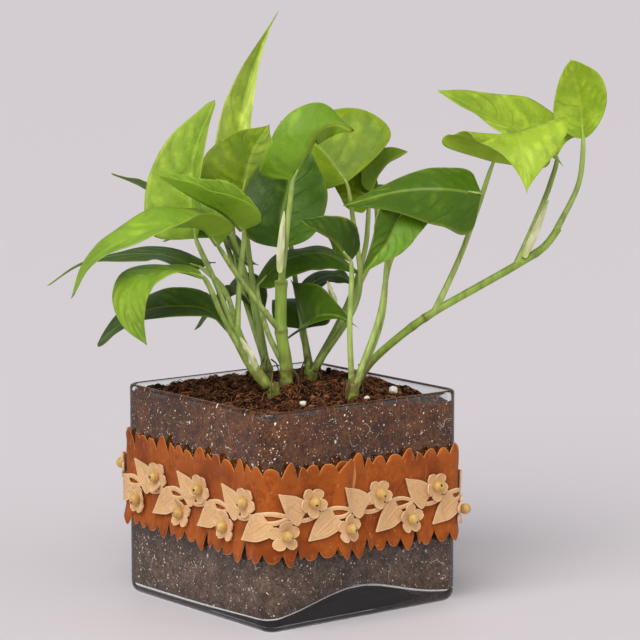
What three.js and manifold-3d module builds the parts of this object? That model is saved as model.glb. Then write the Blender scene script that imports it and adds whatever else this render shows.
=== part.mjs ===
// Golden pothos growing in a square glass vase, with a suede band and a lace garland round the vase.
// Millimetres, +Z up, origin at the centre of the vase's base, vase walls parallel to X and Y.
import * as THREE from 'three';
import { mergeVertices } from 'three/addons/utils/BufferGeometryUtils.js';
import Module from 'manifold-3d';

const wasm = await Module();
wasm.setup();

// ---- driving dimensions ----
const GAP = 0.3; // clear distance between pieces that touch
const VASE = { side: 100, height: 89, wall: 3, corner: 7, foot: 5, lip: 0.8 };
const FLOOR = { thin: 3.5, hump: 9.5, humpX: -3, humpWidth: 30, humpReach: 34 };
const SOIL = { edge: 86.3, mound: 4.2, moundRadius: 26, dip: 3.5, dipX: 42, dipRadius: 16, lump: 0.8 };
const BAND = {
  middle: 48.4, half: 20.2, thick: 1.1, tilt: 0.02, start: 25, overlap: 8, rise: 1.5, climb: 14,
};
const SCALLOP = { pitch: 25.9, first: 41.5 };
const LACE = {
  pitch: 30.3, first: 30.2, middle: -0.9, thick: 1, width: 1.7, swing: 1.9, repeats: 13,
  leaf: 10.5, stand: 0.7, tail: 5.5,
};
const FLOWER = { radius: 6, waist: 2.6, petals: 5, cup: 0.5, lift: 0.25, bead: 2.3 };
const HOLE = { depth: 8, clearance: 0.45, sides: 12 };
const STEM = { sides: 8, step: 9 };
const STALK = { radius: 1.2, sides: 5, step: 11 };
const BLADE = { thick: 0.65, along: 8, across: 4 };
const WALL_STEPS = { corner: 3, side: 6 };
const FUSE_TOLERANCE = 0.05;

// The foliage was arranged as seen past one corner of the vase: a point is given as
// [across, towards the viewer, height], and TURN is the angle of that view about +Z.
const TURN = THREE.MathUtils.degToRad(38.1);

const COLOUR = {
  glass: 0xdfe8e4,
  soil: 0x4a2e20,
  rust: 0xbb6427,
  tan: 0xddb88a,
  wood: 0xd2a85c,
  perlite: 0xe6e0d2,
  leaf: 0x6f9f30,
  vine: 0x86a637,
};

// ---- small helpers ----
function place([across, near, height]) {
  const x = across * Math.cos(TURN) - near * Math.sin(TURN);
  const y = -across * Math.sin(TURN) - near * Math.cos(TURN);
  return new THREE.Vector3(x, y, height);
}

function seededRandom(seed) {
  let state = seed;
  return () => {
    state = (state * 1664525 + 1013904223) % 4294967296;
    return state / 4294967296;
  };
}

function indexedGeometry(points, triangles) {
  const geometry = new THREE.BufferGeometry();
  const positions = points.flatMap((p) => [p.x, p.y, p.z]);
  geometry.setAttribute('position', new THREE.Float32BufferAttribute(positions, 3));
  geometry.setIndex(triangles);
  return geometry;
}

function weld(geometry) {
  geometry.deleteAttribute('normal');
  geometry.deleteAttribute('uv');
  return mergeVertices(geometry, 1e-4);
}

function toSolid(geometry) {
  const welded = weld(geometry);
  return new wasm.Manifold(new wasm.Mesh({
    numProp: 3,
    vertProperties: new Float32Array(welded.attributes.position.array),
    triVerts: new Uint32Array(welded.index.array),
  }));
}

function toGeometry(solid) {
  const mesh = solid.getMesh();
  const geometry = new THREE.BufferGeometry();
  geometry.setAttribute('position', new THREE.BufferAttribute(new Float32Array(mesh.vertProperties), 3));
  geometry.setIndex(Array.from(mesh.triVerts));
  return geometry;
}

// Joins pieces into one body, and drops the slivers that joining leaves.
function fuse(geometries) {
  const whole = geometries.map(toSolid).reduce((joined, piece) => joined.add(piece));
  return toGeometry(whole.asOriginal().simplify(FUSE_TOLERANCE));
}

function named(name, geometry, colour, roughness) {
  geometry.computeVertexNormals();
  const material = new THREE.MeshStandardMaterial({ color: colour, roughness, metalness: 0 });
  const mesh = new THREE.Mesh(geometry, material);
  mesh.name = name;
  return mesh;
}

// A closed skin over a stack of equal rings, with a single point before the first and after the last.
// The rings run counterclockwise about the way from the first point to the last one.
function skin(firstPole, rings, lastPole) {
  const count = rings[0].length;
  const points = [firstPole, ...rings.flat(), lastPole];
  const last = points.length - 1;
  const lastRing = last - count;
  const triangles = [];
  for (let k = 0; k < count; k += 1) {
    const next = (k + 1) % count;
    triangles.push(0, 1 + next, 1 + k);
    triangles.push(last, lastRing + k, lastRing + next);
    for (let low = 1; low < lastRing; low += count) {
      const high = low + count;
      triangles.push(low + k, low + next, high + next, low + k, high + next, high + k);
    }
  }
  return indexedGeometry(points, triangles);
}

// A bar closed at both ends. Each section has four corners: inner low, outer low, outer high, inner high.
function bar(sections) {
  const points = sections.flat();
  const end = points.length - 4;
  const triangles = [0, 1, 2, 0, 2, 3, end, end + 2, end + 1, end, end + 3, end + 2];
  for (let start = 0; start < end; start += 4) {
    for (let k = 0; k < 4; k += 1) {
      const a = start + k;
      const b = start + ((k + 1) % 4);
      triangles.push(a, a + 4, b + 4, a, b + 4, b);
    }
  }
  return indexedGeometry(points, triangles);
}

// A thin plate between two like grids of points [row][column]. Its first and last rows are single spots.
function plate(upper, lower) {
  const lastRow = upper.length - 1;
  const lastColumn = upper[0].length - 1;
  const points = [upper[0][0], upper[lastRow][0], lower[0][0], lower[lastRow][0]];
  const numbers = [upper, lower].map((grid, face) => grid.map((row, i) => row.map((point) => {
    if (i === 0) return 2 * face;
    if (i === lastRow) return 2 * face + 1;
    points.push(point);
    return points.length - 1;
  })));
  const triangles = [];
  const add = (a, b, c) => {
    if (a !== b && b !== c && a !== c) triangles.push(a, b, c);
  };
  const [top, bottom] = numbers;
  for (let i = 0; i < lastRow; i += 1) {
    for (let j = 0; j < lastColumn; j += 1) {
      add(top[i][j], top[i][j + 1], top[i + 1][j + 1]);
      add(top[i][j], top[i + 1][j + 1], top[i + 1][j]);
      add(bottom[i][j], bottom[i + 1][j + 1], bottom[i][j + 1]);
      add(bottom[i][j], bottom[i + 1][j], bottom[i + 1][j + 1]);
    }
    add(top[i][0], top[i + 1][0], bottom[i + 1][0]);
    add(top[i][0], bottom[i + 1][0], bottom[i][0]);
    add(top[i][lastColumn], bottom[i + 1][lastColumn], top[i + 1][lastColumn]);
    add(top[i][lastColumn], bottom[i][lastColumn], bottom[i + 1][lastColumn]);
  }
  return indexedGeometry(points, triangles);
}

// A round rod of even thickness along a smooth curve.
function rod(path, radius, sides, step) {
  const outline = [];
  for (let k = 0; k < sides; k += 1) {
    const angle = (2 * Math.PI * k) / sides;
    outline.push(new THREE.Vector2(radius * Math.cos(angle), radius * Math.sin(angle)));
  }
  const curve = new THREE.CatmullRomCurve3(path);
  const steps = Math.max(2, Math.round(curve.getLength() / step));
  const shape = new THREE.Shape(outline);
  return new THREE.ExtrudeGeometry(shape, { steps, bevelEnabled: false, extrudePath: curve });
}

// ---- the vase ----
// Plan outline of the vase, grown by `out` from its outer wall, counterclockwise from above.
function squareRing(out, heightAt) {
  const half = VASE.side / 2;
  const straight = half - VASE.corner;
  const radius = VASE.corner + out;
  const quarter = [];
  for (let k = 0; k < WALL_STEPS.side; k += 1) {
    quarter.push([-straight + (2 * straight * k) / WALL_STEPS.side, -half - out]);
  }
  for (let k = 0; k < WALL_STEPS.corner; k += 1) {
    const angle = (Math.PI / 2) * (k / WALL_STEPS.corner);
    quarter.push([straight + radius * Math.sin(angle), -straight - radius * Math.cos(angle)]);
  }
  const ring = [];
  for (let side = 0; side < 4; side += 1) {
    const cos = Math.round(Math.cos((side * Math.PI) / 2));
    const sin = Math.round(Math.sin((side * Math.PI) / 2));
    for (const [x, y] of quarter) {
      const px = x * cos - y * sin;
      const py = x * sin + y * cos;
      ring.push(new THREE.Vector3(px, py, heightAt(px, py)));
    }
  }
  return ring;
}

function shrink(ring, factor, heightAt) {
  return ring.map((p) => new THREE.Vector3(p.x * factor, p.y * factor, heightAt(p.x * factor, p.y * factor)));
}

// The pressed glass floor is thin, and swells in a hump along the -Y wall.
function floorHeight(x, y) {
  const reach = (y + VASE.side / 2) / FLOOR.humpReach;
  return FLOOR.thin + FLOOR.hump * Math.exp(-(((x - FLOOR.humpX) / FLOOR.humpWidth) ** 2) - reach ** 2);
}

function glassVase() {
  const level = (z) => () => z;
  const inner = -VASE.wall;
  const floorRing = squareRing(inner, floorHeight);
  const rings = [
    squareRing(-VASE.foot, level(0)),
    squareRing(-0.3 * VASE.foot, level(0.3 * VASE.foot)),
    squareRing(0, level(VASE.foot)),
    squareRing(0, level(VASE.height - VASE.lip)),
    squareRing(-VASE.lip, level(VASE.height)),
    squareRing(inner + VASE.lip, level(VASE.height)),
    squareRing(inner, level(VASE.height - VASE.lip)),
    floorRing,
    shrink(floorRing, 0.7, floorHeight),
    shrink(floorRing, 0.35, floorHeight),
  ];
  return skin(new THREE.Vector3(0, 0, 0), rings, new THREE.Vector3(0, 0, floorHeight(0, 0)));
}

// ---- the soil ----
// Mounded round the stems, level at the walls, and lower in the corner at +X -Y.
function soilHeight(x, y) {
  const mound = SOIL.mound * Math.exp(-(x * x + y * y) / (2 * SOIL.moundRadius ** 2));
  const dipDistance = Math.hypot(x - SOIL.dipX, y + SOIL.dipX);
  const dip = SOIL.dip * Math.exp(-((dipDistance / SOIL.dipRadius) ** 2));
  return SOIL.edge + mound - dip + SOIL.lump * Math.sin(0.31 * x + 0.6) * Math.sin(0.27 * y + 1.1);
}

function soilBlock() {
  const soilFloor = (x, y) => floorHeight(x, y) + 2 * GAP;
  const floorRing = squareRing(-VASE.wall - GAP, soilFloor);
  const topRing = squareRing(-VASE.wall - GAP, soilHeight);
  const rings = [shrink(floorRing, 0.35, soilFloor), shrink(floorRing, 0.7, soilFloor), floorRing, topRing];
  [0.84, 0.67, 0.48, 0.27].forEach((factor) => rings.push(shrink(topRing, factor, soilHeight)));
  const bottom = new THREE.Vector3(0, 0, soilFloor(0, 0));
  let block = toSolid(skin(bottom, rings, new THREE.Vector3(0, 0, soilHeight(0, 0))));
  for (const shoot of SHOOTS) {
    const [across, near] = shoot.root;
    const radius = shoot.thick + HOLE.clearance;
    const hole = new THREE.CylinderGeometry(radius, radius, 40, HOLE.sides);
    hole.rotateX(Math.PI / 2);
    const foot = place([across, near, 0]);
    hole.translate(foot.x, foot.y, soilHeight(foot.x, foot.y) - HOLE.depth + 20);
    block = block.subtract(toSolid(hole));
  }
  return toGeometry(block.asOriginal().simplify(FUSE_TOLERANCE));
}

// Where the large perlite lumps lie on the soil: [x, y, size].
const PERLITE = [[30, -30, 4.2], [-21, -35, 3], [8, -40, 2.4]];

function perliteLump([x, y, size], random) {
  const lump = weld(new THREE.IcosahedronGeometry(size / 2, 0));
  const spots = lump.attributes.position;
  for (let i = 0; i < spots.count; i += 1) {
    const swell = 0.8 + 0.35 * random();
    spots.setXYZ(i, spots.getX(i) * swell, spots.getY(i) * swell, spots.getZ(i) * swell * 0.75);
  }
  lump.translate(x, y, soilHeight(x, y) + 0.45 * size + GAP);
  return lump;
}

// ---- round the vase ----
const STRAIGHT = VASE.side - 2 * VASE.corner;
const BEND = (VASE.corner + 1.5) * (Math.PI / 2); // length round a corner, in the middle of the leather
const QUARTER = STRAIGHT + BEND;
const BAND_END = BAND.start + 4 * QUARTER + BAND.overlap;

// A point `out` from the glass after running `run` along the wall; run 0 is at x = -43 on the -Y wall.
function wallPoint(run, out, height) {
  const wrapped = THREE.MathUtils.euclideanModulo(run, 4 * QUARTER);
  const side = Math.floor(wrapped / QUARTER);
  const rest = wrapped - side * QUARTER;
  const point = new THREE.Vector3(rest - STRAIGHT / 2, -VASE.side / 2 - out, height);
  if (rest > STRAIGHT) {
    const angle = ((rest - STRAIGHT) / BEND) * (Math.PI / 2);
    point.x = STRAIGHT / 2 + (VASE.corner + out) * Math.sin(angle);
    point.y = -STRAIGHT / 2 - (VASE.corner + out) * Math.cos(angle);
  }
  return point.applyAxisAngle(new THREE.Vector3(0, 0, 1), (side * Math.PI) / 2);
}

// How far the band stands off the glass: its last stretch climbs over its own beginning.
function bandLift(run) {
  const over = BAND_END - BAND.overlap;
  return GAP + BAND.rise * THREE.MathUtils.smoothstep(run, over - BAND.climb, over - 1);
}

function bandMiddle(run) {
  const spot = wallPoint(run, 0, 0);
  return BAND.middle + BAND.tilt * (spot.y - spot.x);
}

// One section of a strip round the vase.
function strip(run, inner, thick, low, high) {
  return [
    wallPoint(run, inner, low),
    wallPoint(run, inner + thick, low),
    wallPoint(run, inner + thick, high),
    wallPoint(run, inner, high),
  ];
}

// One scallop from notch to notch: [share of the pitch, depth below the tip line].
const SCALLOP_EDGE = [
  [0, 6.5], [0.05, 0.9], [0.12, 1.8], [0.2, 0.5], [0.31, 0.7], [0.37, 3.8], [0.45, 1.1],
  [0.55, 0.7], [0.65, 1.6], [0.72, 3.4], [0.85, -0.6], [0.93, 2], [0.97, 5],
];

function suedeBand() {
  const sections = [];
  const pitches = Math.ceil((BAND_END - BAND.start) / SCALLOP.pitch);
  for (let k = -1; k <= pitches; k += 1) {
    for (const [share, depth] of SCALLOP_EDGE) {
      const run = SCALLOP.first + (k + share) * SCALLOP.pitch;
      const reach = BAND.half - depth;
      const middle = bandMiddle(run);
      if (run < BAND.start || run > BAND_END) continue;
      sections.push(strip(run, bandLift(run), BAND.thick, middle - reach, middle + reach));
    }
  }
  return bar(sections);
}

// ---- the lace garland and its beads ----
// The lace lies on the band. Heights in it are counted from its own middle line.
function lacePoint(run, rise, lift) {
  return wallPoint(run, bandLift(run) + BAND.thick + GAP + lift, bandMiddle(run) + LACE.middle + rise);
}

const LACE_START = BAND.start + BAND.overlap + 1;
// The lace runs a little past the end of the band, over its own beginning.
const LACE_END = BAND_END + LACE.tail;

// Runs along the lace at even steps, closer where it goes round a corner of the vase.
function laceRuns() {
  const runs = [];
  const onStraight = LACE.pitch / 5;
  for (let run = LACE_START; run < LACE_END;) {
    runs.push(run);
    const rest = THREE.MathUtils.euclideanModulo(run, QUARTER);
    const nearBend = rest > STRAIGHT - onStraight - 1 || rest < 0.1;
    run += nearBend ? onStraight / 2 : onStraight;
  }
  runs.push(LACE_END);
  return runs;
}

function laceVine(phase, lift) {
  return bar(laceRuns().map((run) => {
    const angle = (2 * Math.PI * (run - LACE.first)) / LACE.pitch + phase;
    const height = bandMiddle(run) + LACE.middle + LACE.swing * Math.cos(angle);
    const inner = bandLift(run) + BAND.thick + GAP + lift;
    return strip(run, inner, LACE.thick, height - LACE.width / 2, height + LACE.width / 2);
  }));
}

// A flat pointed leaf from its foot to its tip, both given as [run, rise].
function laceLeaf(foot, tip, width) {
  const outline = [[0, 0], [0.3, 1], [0.65, 0.72], [1, 0]];
  const along = [tip[0] - foot[0], tip[1] - foot[1]];
  const length = Math.hypot(...along);
  const layer = (lift) => outline.map(([t, swell]) => [-0.5, 0, 0.5].map((side) => {
    const reach = (side * swell * width) / length;
    return lacePoint(foot[0] + t * along[0] + reach * along[1], foot[1] + t * along[1] - reach * along[0], lift);
  }));
  return plate(layer(LACE.stand + LACE.thick), layer(LACE.stand));
}

// Five petals, one of which points at the vines.
function laceFlower([run, rise]) {
  const outline = [];
  for (let k = 0; k < FLOWER.petals; k += 1) {
    const angle = -Math.sign(rise) * (Math.PI / 2) + (2 * Math.PI * k) / FLOWER.petals;
    outline.push([angle - 0.36, 0.92 * FLOWER.radius], [angle + 0.36, 0.92 * FLOWER.radius]);
    outline.push([angle + Math.PI / FLOWER.petals, FLOWER.waist]);
  }
  const spot = (lift) => ([angle, radius]) => {
    const cup = (FLOWER.cup * radius) / FLOWER.radius;
    return lacePoint(run + radius * Math.cos(angle), rise + radius * Math.sin(angle), FLOWER.lift + cup + lift);
  };
  const upper = spot(LACE.thick);
  const lower = spot(0);
  const points = [upper([0, 0]), lower([0, 0]), ...outline.map(upper), ...outline.map(lower)];
  const count = outline.length;
  const triangles = [];
  for (let k = 0; k < count; k += 1) {
    const top = 2 + k;
    const topNext = 2 + ((k + 1) % count);
    triangles.push(0, top, topNext, 1, topNext + count, top + count);
    triangles.push(top, top + count, topNext + count, top, topNext + count, topNext);
  }
  return indexedGeometry(points, triangles);
}

// Where each flower sits, one below and one above the vines in each repeat: [run, rise].
function flowerSpots() {
  const spots = [];
  for (let k = 0; k <= LACE.repeats; k += 1) {
    const start = LACE.first + k * LACE.pitch;
    spots.push([start + 3, -6.9], [start + 16.5, 5.2]);
  }
  return spots.filter(([run]) => run > LACE_START + FLOWER.radius && run < LACE_END - FLOWER.radius);
}

function laceGarland() {
  const pieces = [laceVine(0.5, 0), laceVine(0.5 + Math.PI, 0.15)];
  for (let k = 0; k <= LACE.repeats; k += 1) {
    const start = LACE.first + k * LACE.pitch;
    if (k > 0) pieces.push(laceLeaf([start + 12.2, -0.6], [start, 9], LACE.leaf));
    if (k < LACE.repeats) pieces.push(laceLeaf([start + 27, -1.2], [start + 15.2, -11.2], LACE.leaf));
  }
  flowerSpots().forEach((spot) => pieces.push(laceFlower(spot)));
  return fuse(pieces);
}

function bead([run, rise]) {
  const sides = 6;
  const seat = FLOWER.lift + LACE.thick + GAP + FLOWER.bead;
  const centre = lacePoint(run, rise, seat);
  const outward = lacePoint(run, rise, seat + 1).sub(centre);
  const up = new THREE.Vector3(0, 0, 1);
  const sideways = new THREE.Vector3().crossVectors(up, outward);
  const at = (height, radius, angle) => centre.clone()
    .addScaledVector(outward, height * FLOWER.bead)
    .addScaledVector(sideways, radius * FLOWER.bead * Math.cos(angle))
    .addScaledVector(up, radius * FLOWER.bead * Math.sin(angle));
  const rings = [[-0.62, 0.78], [0.25, 1], [0.8, 0.6]].map(([height, radius]) => {
    const ring = [];
    for (let k = 0; k < sides; k += 1) ring.push(at(height, radius, (2 * Math.PI * k) / sides));
    return ring;
  });
  return skin(at(-1, 0, 0), rings, at(1, 0, 0));
}

// ---- the plant ----
// Each shoot has a root [across, near] in the soil and a thickness (radius) there; its stems follow
// their paths. Each leaf: rib = midrib from base to tip; side = direction of the blade's right half,
// seen on its upper face with the tip ahead (sideTip where the blade twists); fold = how far the
// halves are folded up, in degrees, at base and tip; skew = how much more the right half is folded
// than the left; roll = how much more the left half is rolled up at its base; slant = how far the
// right edge is ahead of the left one; lobe = how far the heart-shaped base reaches back; taper and
// shoulder = how the width falls towards the tip and rises from the base; stalk = where the leaf
// stalk leaves the stem, and its bends, up to the base of the blade.
const PLAIN_LEAF = { fold: [20, 0], skew: 0, roll: 0, slant: 0, lobe: 0.1, taper: 1.05, shoulder: 0.5 };

const SHOOTS = [
  {
    name: 'shoot_left',
    root: [-7, 22],
    thick: 2.6,
    stems: [[[-9, 22, 92], [-13, 21, 97], [-18, 18, 104], [-23, 16, 116]]],
    leaves: [
      { // tall leaf standing at the left
        rib: [[-39, 4, 151], [-41, 2, 170], [-39, 2, 187], [-31, 0, 207.5]],
        side: [0.87, 0.5, 0], width: 43, fold: [58, 38], taper: 1.35,
        stalk: [[-23, 16, 113], [-30, 12, 132]],
      },
      { // folded leaf whose keel faces the viewer
        rib: [[-19, 18, 156], [-26, 26, 164], [-38, 30, 171], [-53, 30, 180]],
        side: [0, -1, 0.1], width: 26, fold: [84, 50], skew: 16, lobe: 0.02, taper: 0.95,
        shoulder: 0.3,
        stalk: [[-22, 16, 112], [-21, 11, 134]],
      },
      { // far leaf pointing left
        rib: [
          [-38, -20, 136], [-54, -32, 140], [-69, -36, 140], [-80, -40, 138], [-92, -44, 134],
          [-105, -44, 125],
        ],
        side: [0, -1, 0.12], width: 28, fold: [10, -8], taper: 2,
        stalk: [[-21, 17, 111], [-28, -10, 128]],
      },
      { // leaf that hooks down at its tip
        rib: [
          [-35, 34, 139], [-44, 38, 142], [-53, 42, 142.6], [-61, 46, 139.4], [-64, 48, 133],
          [-62.5, 48, 123], [-57, 46, 113],
        ],
        side: [0, -1, 0.05], sideTip: [-1, -0.1, 0], width: 25, fold: [13, -6], lobe: 0.03,
        stalk: [[-18, 18, 103], [-26, 24, 118]],
      },
      { // dark low leaf
        rib: [
          [-24, 14, 113], [-34.5, 18, 123.5], [-46, 22, 125.5], [-58, 22, 124], [-68, 21, 119],
          [-79, 16, 109],
        ],
        side: [0, -0.88, 0.45], width: 25, fold: [22, 5], skew: -8, taper: 0.45,
        stalk: [[-16, 19, 101]],
      },
    ],
  },
  {
    name: 'shoot_back_left',
    root: [-10, -14],
    thick: 2.4,
    stems: [],
    leaves: [
      { // tallest leaf, narrow and upright
        rib: [
          [-23.6, -34, 174.2], [-21.6, -36, 196.7], [-16.5, -36, 218], [-10.8, -34, 232.3],
          [-5.2, -32, 243.2],
        ],
        side: [0.95, 0.3, 0], width: 27, fold: [55, 60], skew: -6, lobe: 0.12, taper: 1.7,
        stalk: [[-10, -14, 93], [-22, -32, 130], [-25.5, -35, 160]],
      },
      { // dark leaf pointing left
        rib: [[-34, -30, 165], [-51, -36, 168], [-62, -40, 169], [-77, -44, 173.5]],
        side: [0, -0.95, -0.28], width: 24, fold: [5, 0],
        stalk: [[-10, -15, 93], [-22, -28, 140]],
      },
      { // olive leaf behind the middle
        rib: [[-20, -12, 168], [-18, -16, 178.5], [-15, -19, 187], [-9, -22, 196]],
        side: [0.93, 0.2, -0.35], width: 40, fold: [20, 10], taper: 1.35,
        stalk: [[-10, -13, 93], [-16, -12, 130]],
      },
      { // low dark leaf drooping left
        rib: [[-16, -24, 118], [-22, -32, 124], [-32, -40, 118], [-42, -44, 106]],
        side: [0, -1, 0.2], width: 28, fold: [15, 0],
        stalk: [[-11, -15, 93]],
      },
      { // greyish leaf at mid height
        rib: [[-18, -30, 136], [-30, -40, 146], [-44, -48, 148], [-56, -54, 143]],
        side: [0, -1, 0.1], width: 26, fold: [12, 0],
        stalk: [[-10, -16, 93], [-14, -24, 116]],
      },
      { // leaf arching to the back
        rib: [[-30, -40, 150], [-34, -52, 158], [-38, -64, 158], [-42, -76, 148]],
        side: [1, 0, 0], width: 30, fold: [14, 0],
        stalk: [[-9, -16, 93], [-20, -32, 122]],
      },
    ],
  },
  {
    name: 'shoot_centre',
    root: [-2, 8],
    thick: 2.8,
    stems: [[[-2, 8, 92], [-2, 8, 100], [-4, 8, 113], [-4, 6, 134]]],
    leaves: [
      { // leaf arching left, closest to the viewer
        rib: [
          [-29, 28, 150.6], [-35, 34, 158.6], [-44, 38, 160.1], [-54, 42, 159], [-63, 44, 156],
          [-74, 46, 150.6], [-81, 46, 143.6], [-87, 46, 131.6],
        ],
        side: [0, -0.93, 0.36], width: 28, fold: [9, 9], skew: 2, roll: 105, lobe: 0.03, taper: 0.9,
        shoulder: 0.42,
        stalk: [[-4, 8, 113], [-12, 15, 124], [-23, 23, 140.5]],
      },
      { // glossy curled leaf in the middle
        rib: [
          [1, 18, 176], [4.5, 22, 184.5], [9.5, 22, 195], [14, 20, 198.5], [20, 18, 199.5],
          [26, 14, 196],
        ],
        side: [0.85, 0.5, -0.3], width: 31.5, fold: [-43, -43], skew: -69, lobe: 0.28, taper: 1.2,
        shoulder: 0.7,
        stalk: [[-4, 6, 133], [-2, 12, 150]],
      },
      { // broad blue-green leaf behind it
        rib: [[-4, 2, 147], [-4, 0, 158], [-1.5, -4, 170], [1.5, -8, 182], [5.5, -12, 191]],
        side: [1, 0.1, 0], width: 36, fold: [15, 5], lobe: 0.08, taper: 1, shoulder: 0.7,
        stalk: [[-4, 7, 128], [-4, 4, 140]],
      },
      { // small dark leaf pointing right
        rib: [[-14, -14, 129], [-4, -18, 139], [13, -22, 142], [30, -22, 133]],
        side: [0, 0.88, -0.42], width: 22, fold: [-5, -15], taper: 0.9,
        stalk: [[-2, 8, 97], [-10, -2, 112]],
      },
    ],
  },
  {
    name: 'shoot_back',
    root: [8, -16],
    thick: 2.8,
    stems: [],
    leaves: [
      { // broad yellow-green leaf at the top right
        rib: [[23, -18, 171.9], [13.5, -28, 183.9], [3.5, -37, 190.9], [-5, -46, 195.4]],
        side: [0.7, 0.1, 0.72], width: 54, fold: [15, 15], skew: -28, lobe: 0, taper: 1.35,
        shoulder: 0.5,
        stalk: [[9, -15, 93], [28, -14, 125], [26, -16, 154]],
      },
      { // recurved leaf behind it
        rib: [[33, -30, 166.5], [36.5, -34, 174], [41, -37, 179], [49, -40, 183]],
        side: [-0.6, 0.3, 0.75], width: 17, fold: [40, 35], skew: -28, lobe: 0.02, taper: 0.9,
        stalk: [[9, -16, 93], [24, -34, 120], [31, -35, 142]],
      },
      { // low dark leaf pointing right
        rib: [[5, -16, 111], [11, -8, 117], [19, -2, 118], [29, 2, 113]],
        side: [0.3, 0.35, -0.9], width: 44, fold: [35, 35], skew: 35, lobe: 0.12, taper: 2.4,
        shoulder: 0.35,
        stalk: [[7, -16, 93]],
      },
      { // small dark leaf behind
        rib: [[6, -34, 125], [13, -38, 130], [22, -38, 130], [28, -38, 124]],
        side: [0, 0.95, -0.3], width: 16, fold: [5, -5],
        stalk: [[7, -17, 93], [5, -26, 112]],
      },
      { // olive leaf facing the viewer
        rib: [[34, -32, 164], [26, -32, 168], [17, -32, 172]],
        side: [0, -0.5, 0.86], width: 20, fold: [10, 5],
        stalk: [[10, -17, 93], [26, -40, 120], [36, -40, 150]],
      },
      { // leaf standing out at the back
        rib: [[-2, -38, 156], [-4, -50, 170], [-6, -64, 174], [-8, -76, 166]],
        side: [1, 0, 0], width: 30, fold: [16, 0],
        stalk: [[8, -18, 93], [2, -30, 126]],
      },
      { // leaf at the back right
        rib: [[44, -38, 158], [50, -50, 166], [56, -62, 164], [60, -74, 154]],
        side: [1, 0.3, 0], width: 30, fold: [16, 0],
        stalk: [[10, -18, 93], [28, -32, 126]],
      },
      { // low leaf at the back
        rib: [[4, -34, 108], [4, -48, 118], [2, -62, 116], [0, -74, 106]],
        side: [1, 0, 0], width: 26, fold: [12, 0],
        stalk: [[8, -18, 93]],
      },
    ],
  },
  {
    name: 'shoot_right',
    root: [25, 22],
    thick: 2.8,
    stems: [],
    leaves: [
      { // dark leaf folded towards the middle
        rib: [
          [24.5, 16, 143], [22.5, 18, 146], [18, 20, 151.5], [12.5, 21, 155], [7.5, 21, 157.5],
          [3.5, 20, 160.5],
        ],
        side: [0.1, -0.35, 0.93], width: 23, fold: [-50, -50], skew: 67, lobe: 0.02, taper: 0.9,
        shoulder: 0.35,
        stalk: [[25, 22, 91], [24, 22, 115]],
      },
      { // wide dark leaf pointing left
        rib: [[77, 24, 171.5], [62, 29, 174], [45, 26, 173], [21, 18, 166]],
        side: [0, -0.7, 0.72], width: 33, fold: [-28, -22], skew: 14, lobe: 0.03, taper: 1.1,
        shoulder: 0.15,
        stalk: [[25.5, 22, 91], [36, 16, 120], [42, 12, 146], [60, 14, 166]],
      },
      { // narrow leaf with a pale edge
        rib: [[47, 16, 166], [43, 20, 159.5], [39, 23, 151.5], [34.5, 24, 146], [29, 24, 138.5]],
        side: [-0.8, -0.2, 0.6], width: 23, fold: [25, 20], skew: 12, taper: 1.35, shoulder: 0.3,
        stalk: [[26, 21, 91], [37, 12, 118], [40, 8, 145]],
      },
    ],
  },
  {
    name: 'shoot_trailing',
    root: [27, 2],
    thick: 1.9,
    stems: [[
      [28, 2, 92], [33, 0, 99], [48, 4, 113], [59, 6, 121], [78, 0, 131], [93, -4, 139],
      [105, -10, 146], [111, -14, 153],
    ]],
    leaves: [
      { // lime leaf bending towards the viewer
        rib: [
          [83, 0, 182], [86.5, 3, 189.5], [91, 10, 195], [93, 18, 190.5], [94, 24, 181.5],
          [95, 28, 171.5],
        ],
        side: [-1, 0, -0.45], sideTip: [-1, 0, 0.2], width: 50, fold: [2, 2], roll: 15, slant: -0.09,
        lobe: 0.08, taper: 1.6, shoulder: 0.4,
        stalk: [[59, 6, 121], [70, 4, 145]],
      },
      { // lime leaf pointing left over it
        rib: [[110, -14, 183], [96, -12, 193], [79, -8, 202], [60, -2, 211.5]],
        side: [0, -0.85, 0.5], width: 40, fold: [28, 18], slant: -0.1, lobe: 0.22, taper: 1.05,
        shoulder: 0.4,
        stalk: [[93, -4, 139], [102, -12, 158], [107.8, -16, 172]],
      },
      { // upright leaf at the tip of the vine
        rib: [[121.5, -20, 190], [120.5, -22, 202.5], [118, -20, 214], [115.5, -16, 223]],
        side: [1, 0.05, 0.1], width: 27, fold: [38, 20], slant: 0.13, lobe: 0, taper: 0.8,
        shoulder: 0.6,
        stalk: [[110, -13.5, 152], [120, -20, 172]],
      },
    ],
  },
];

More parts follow.
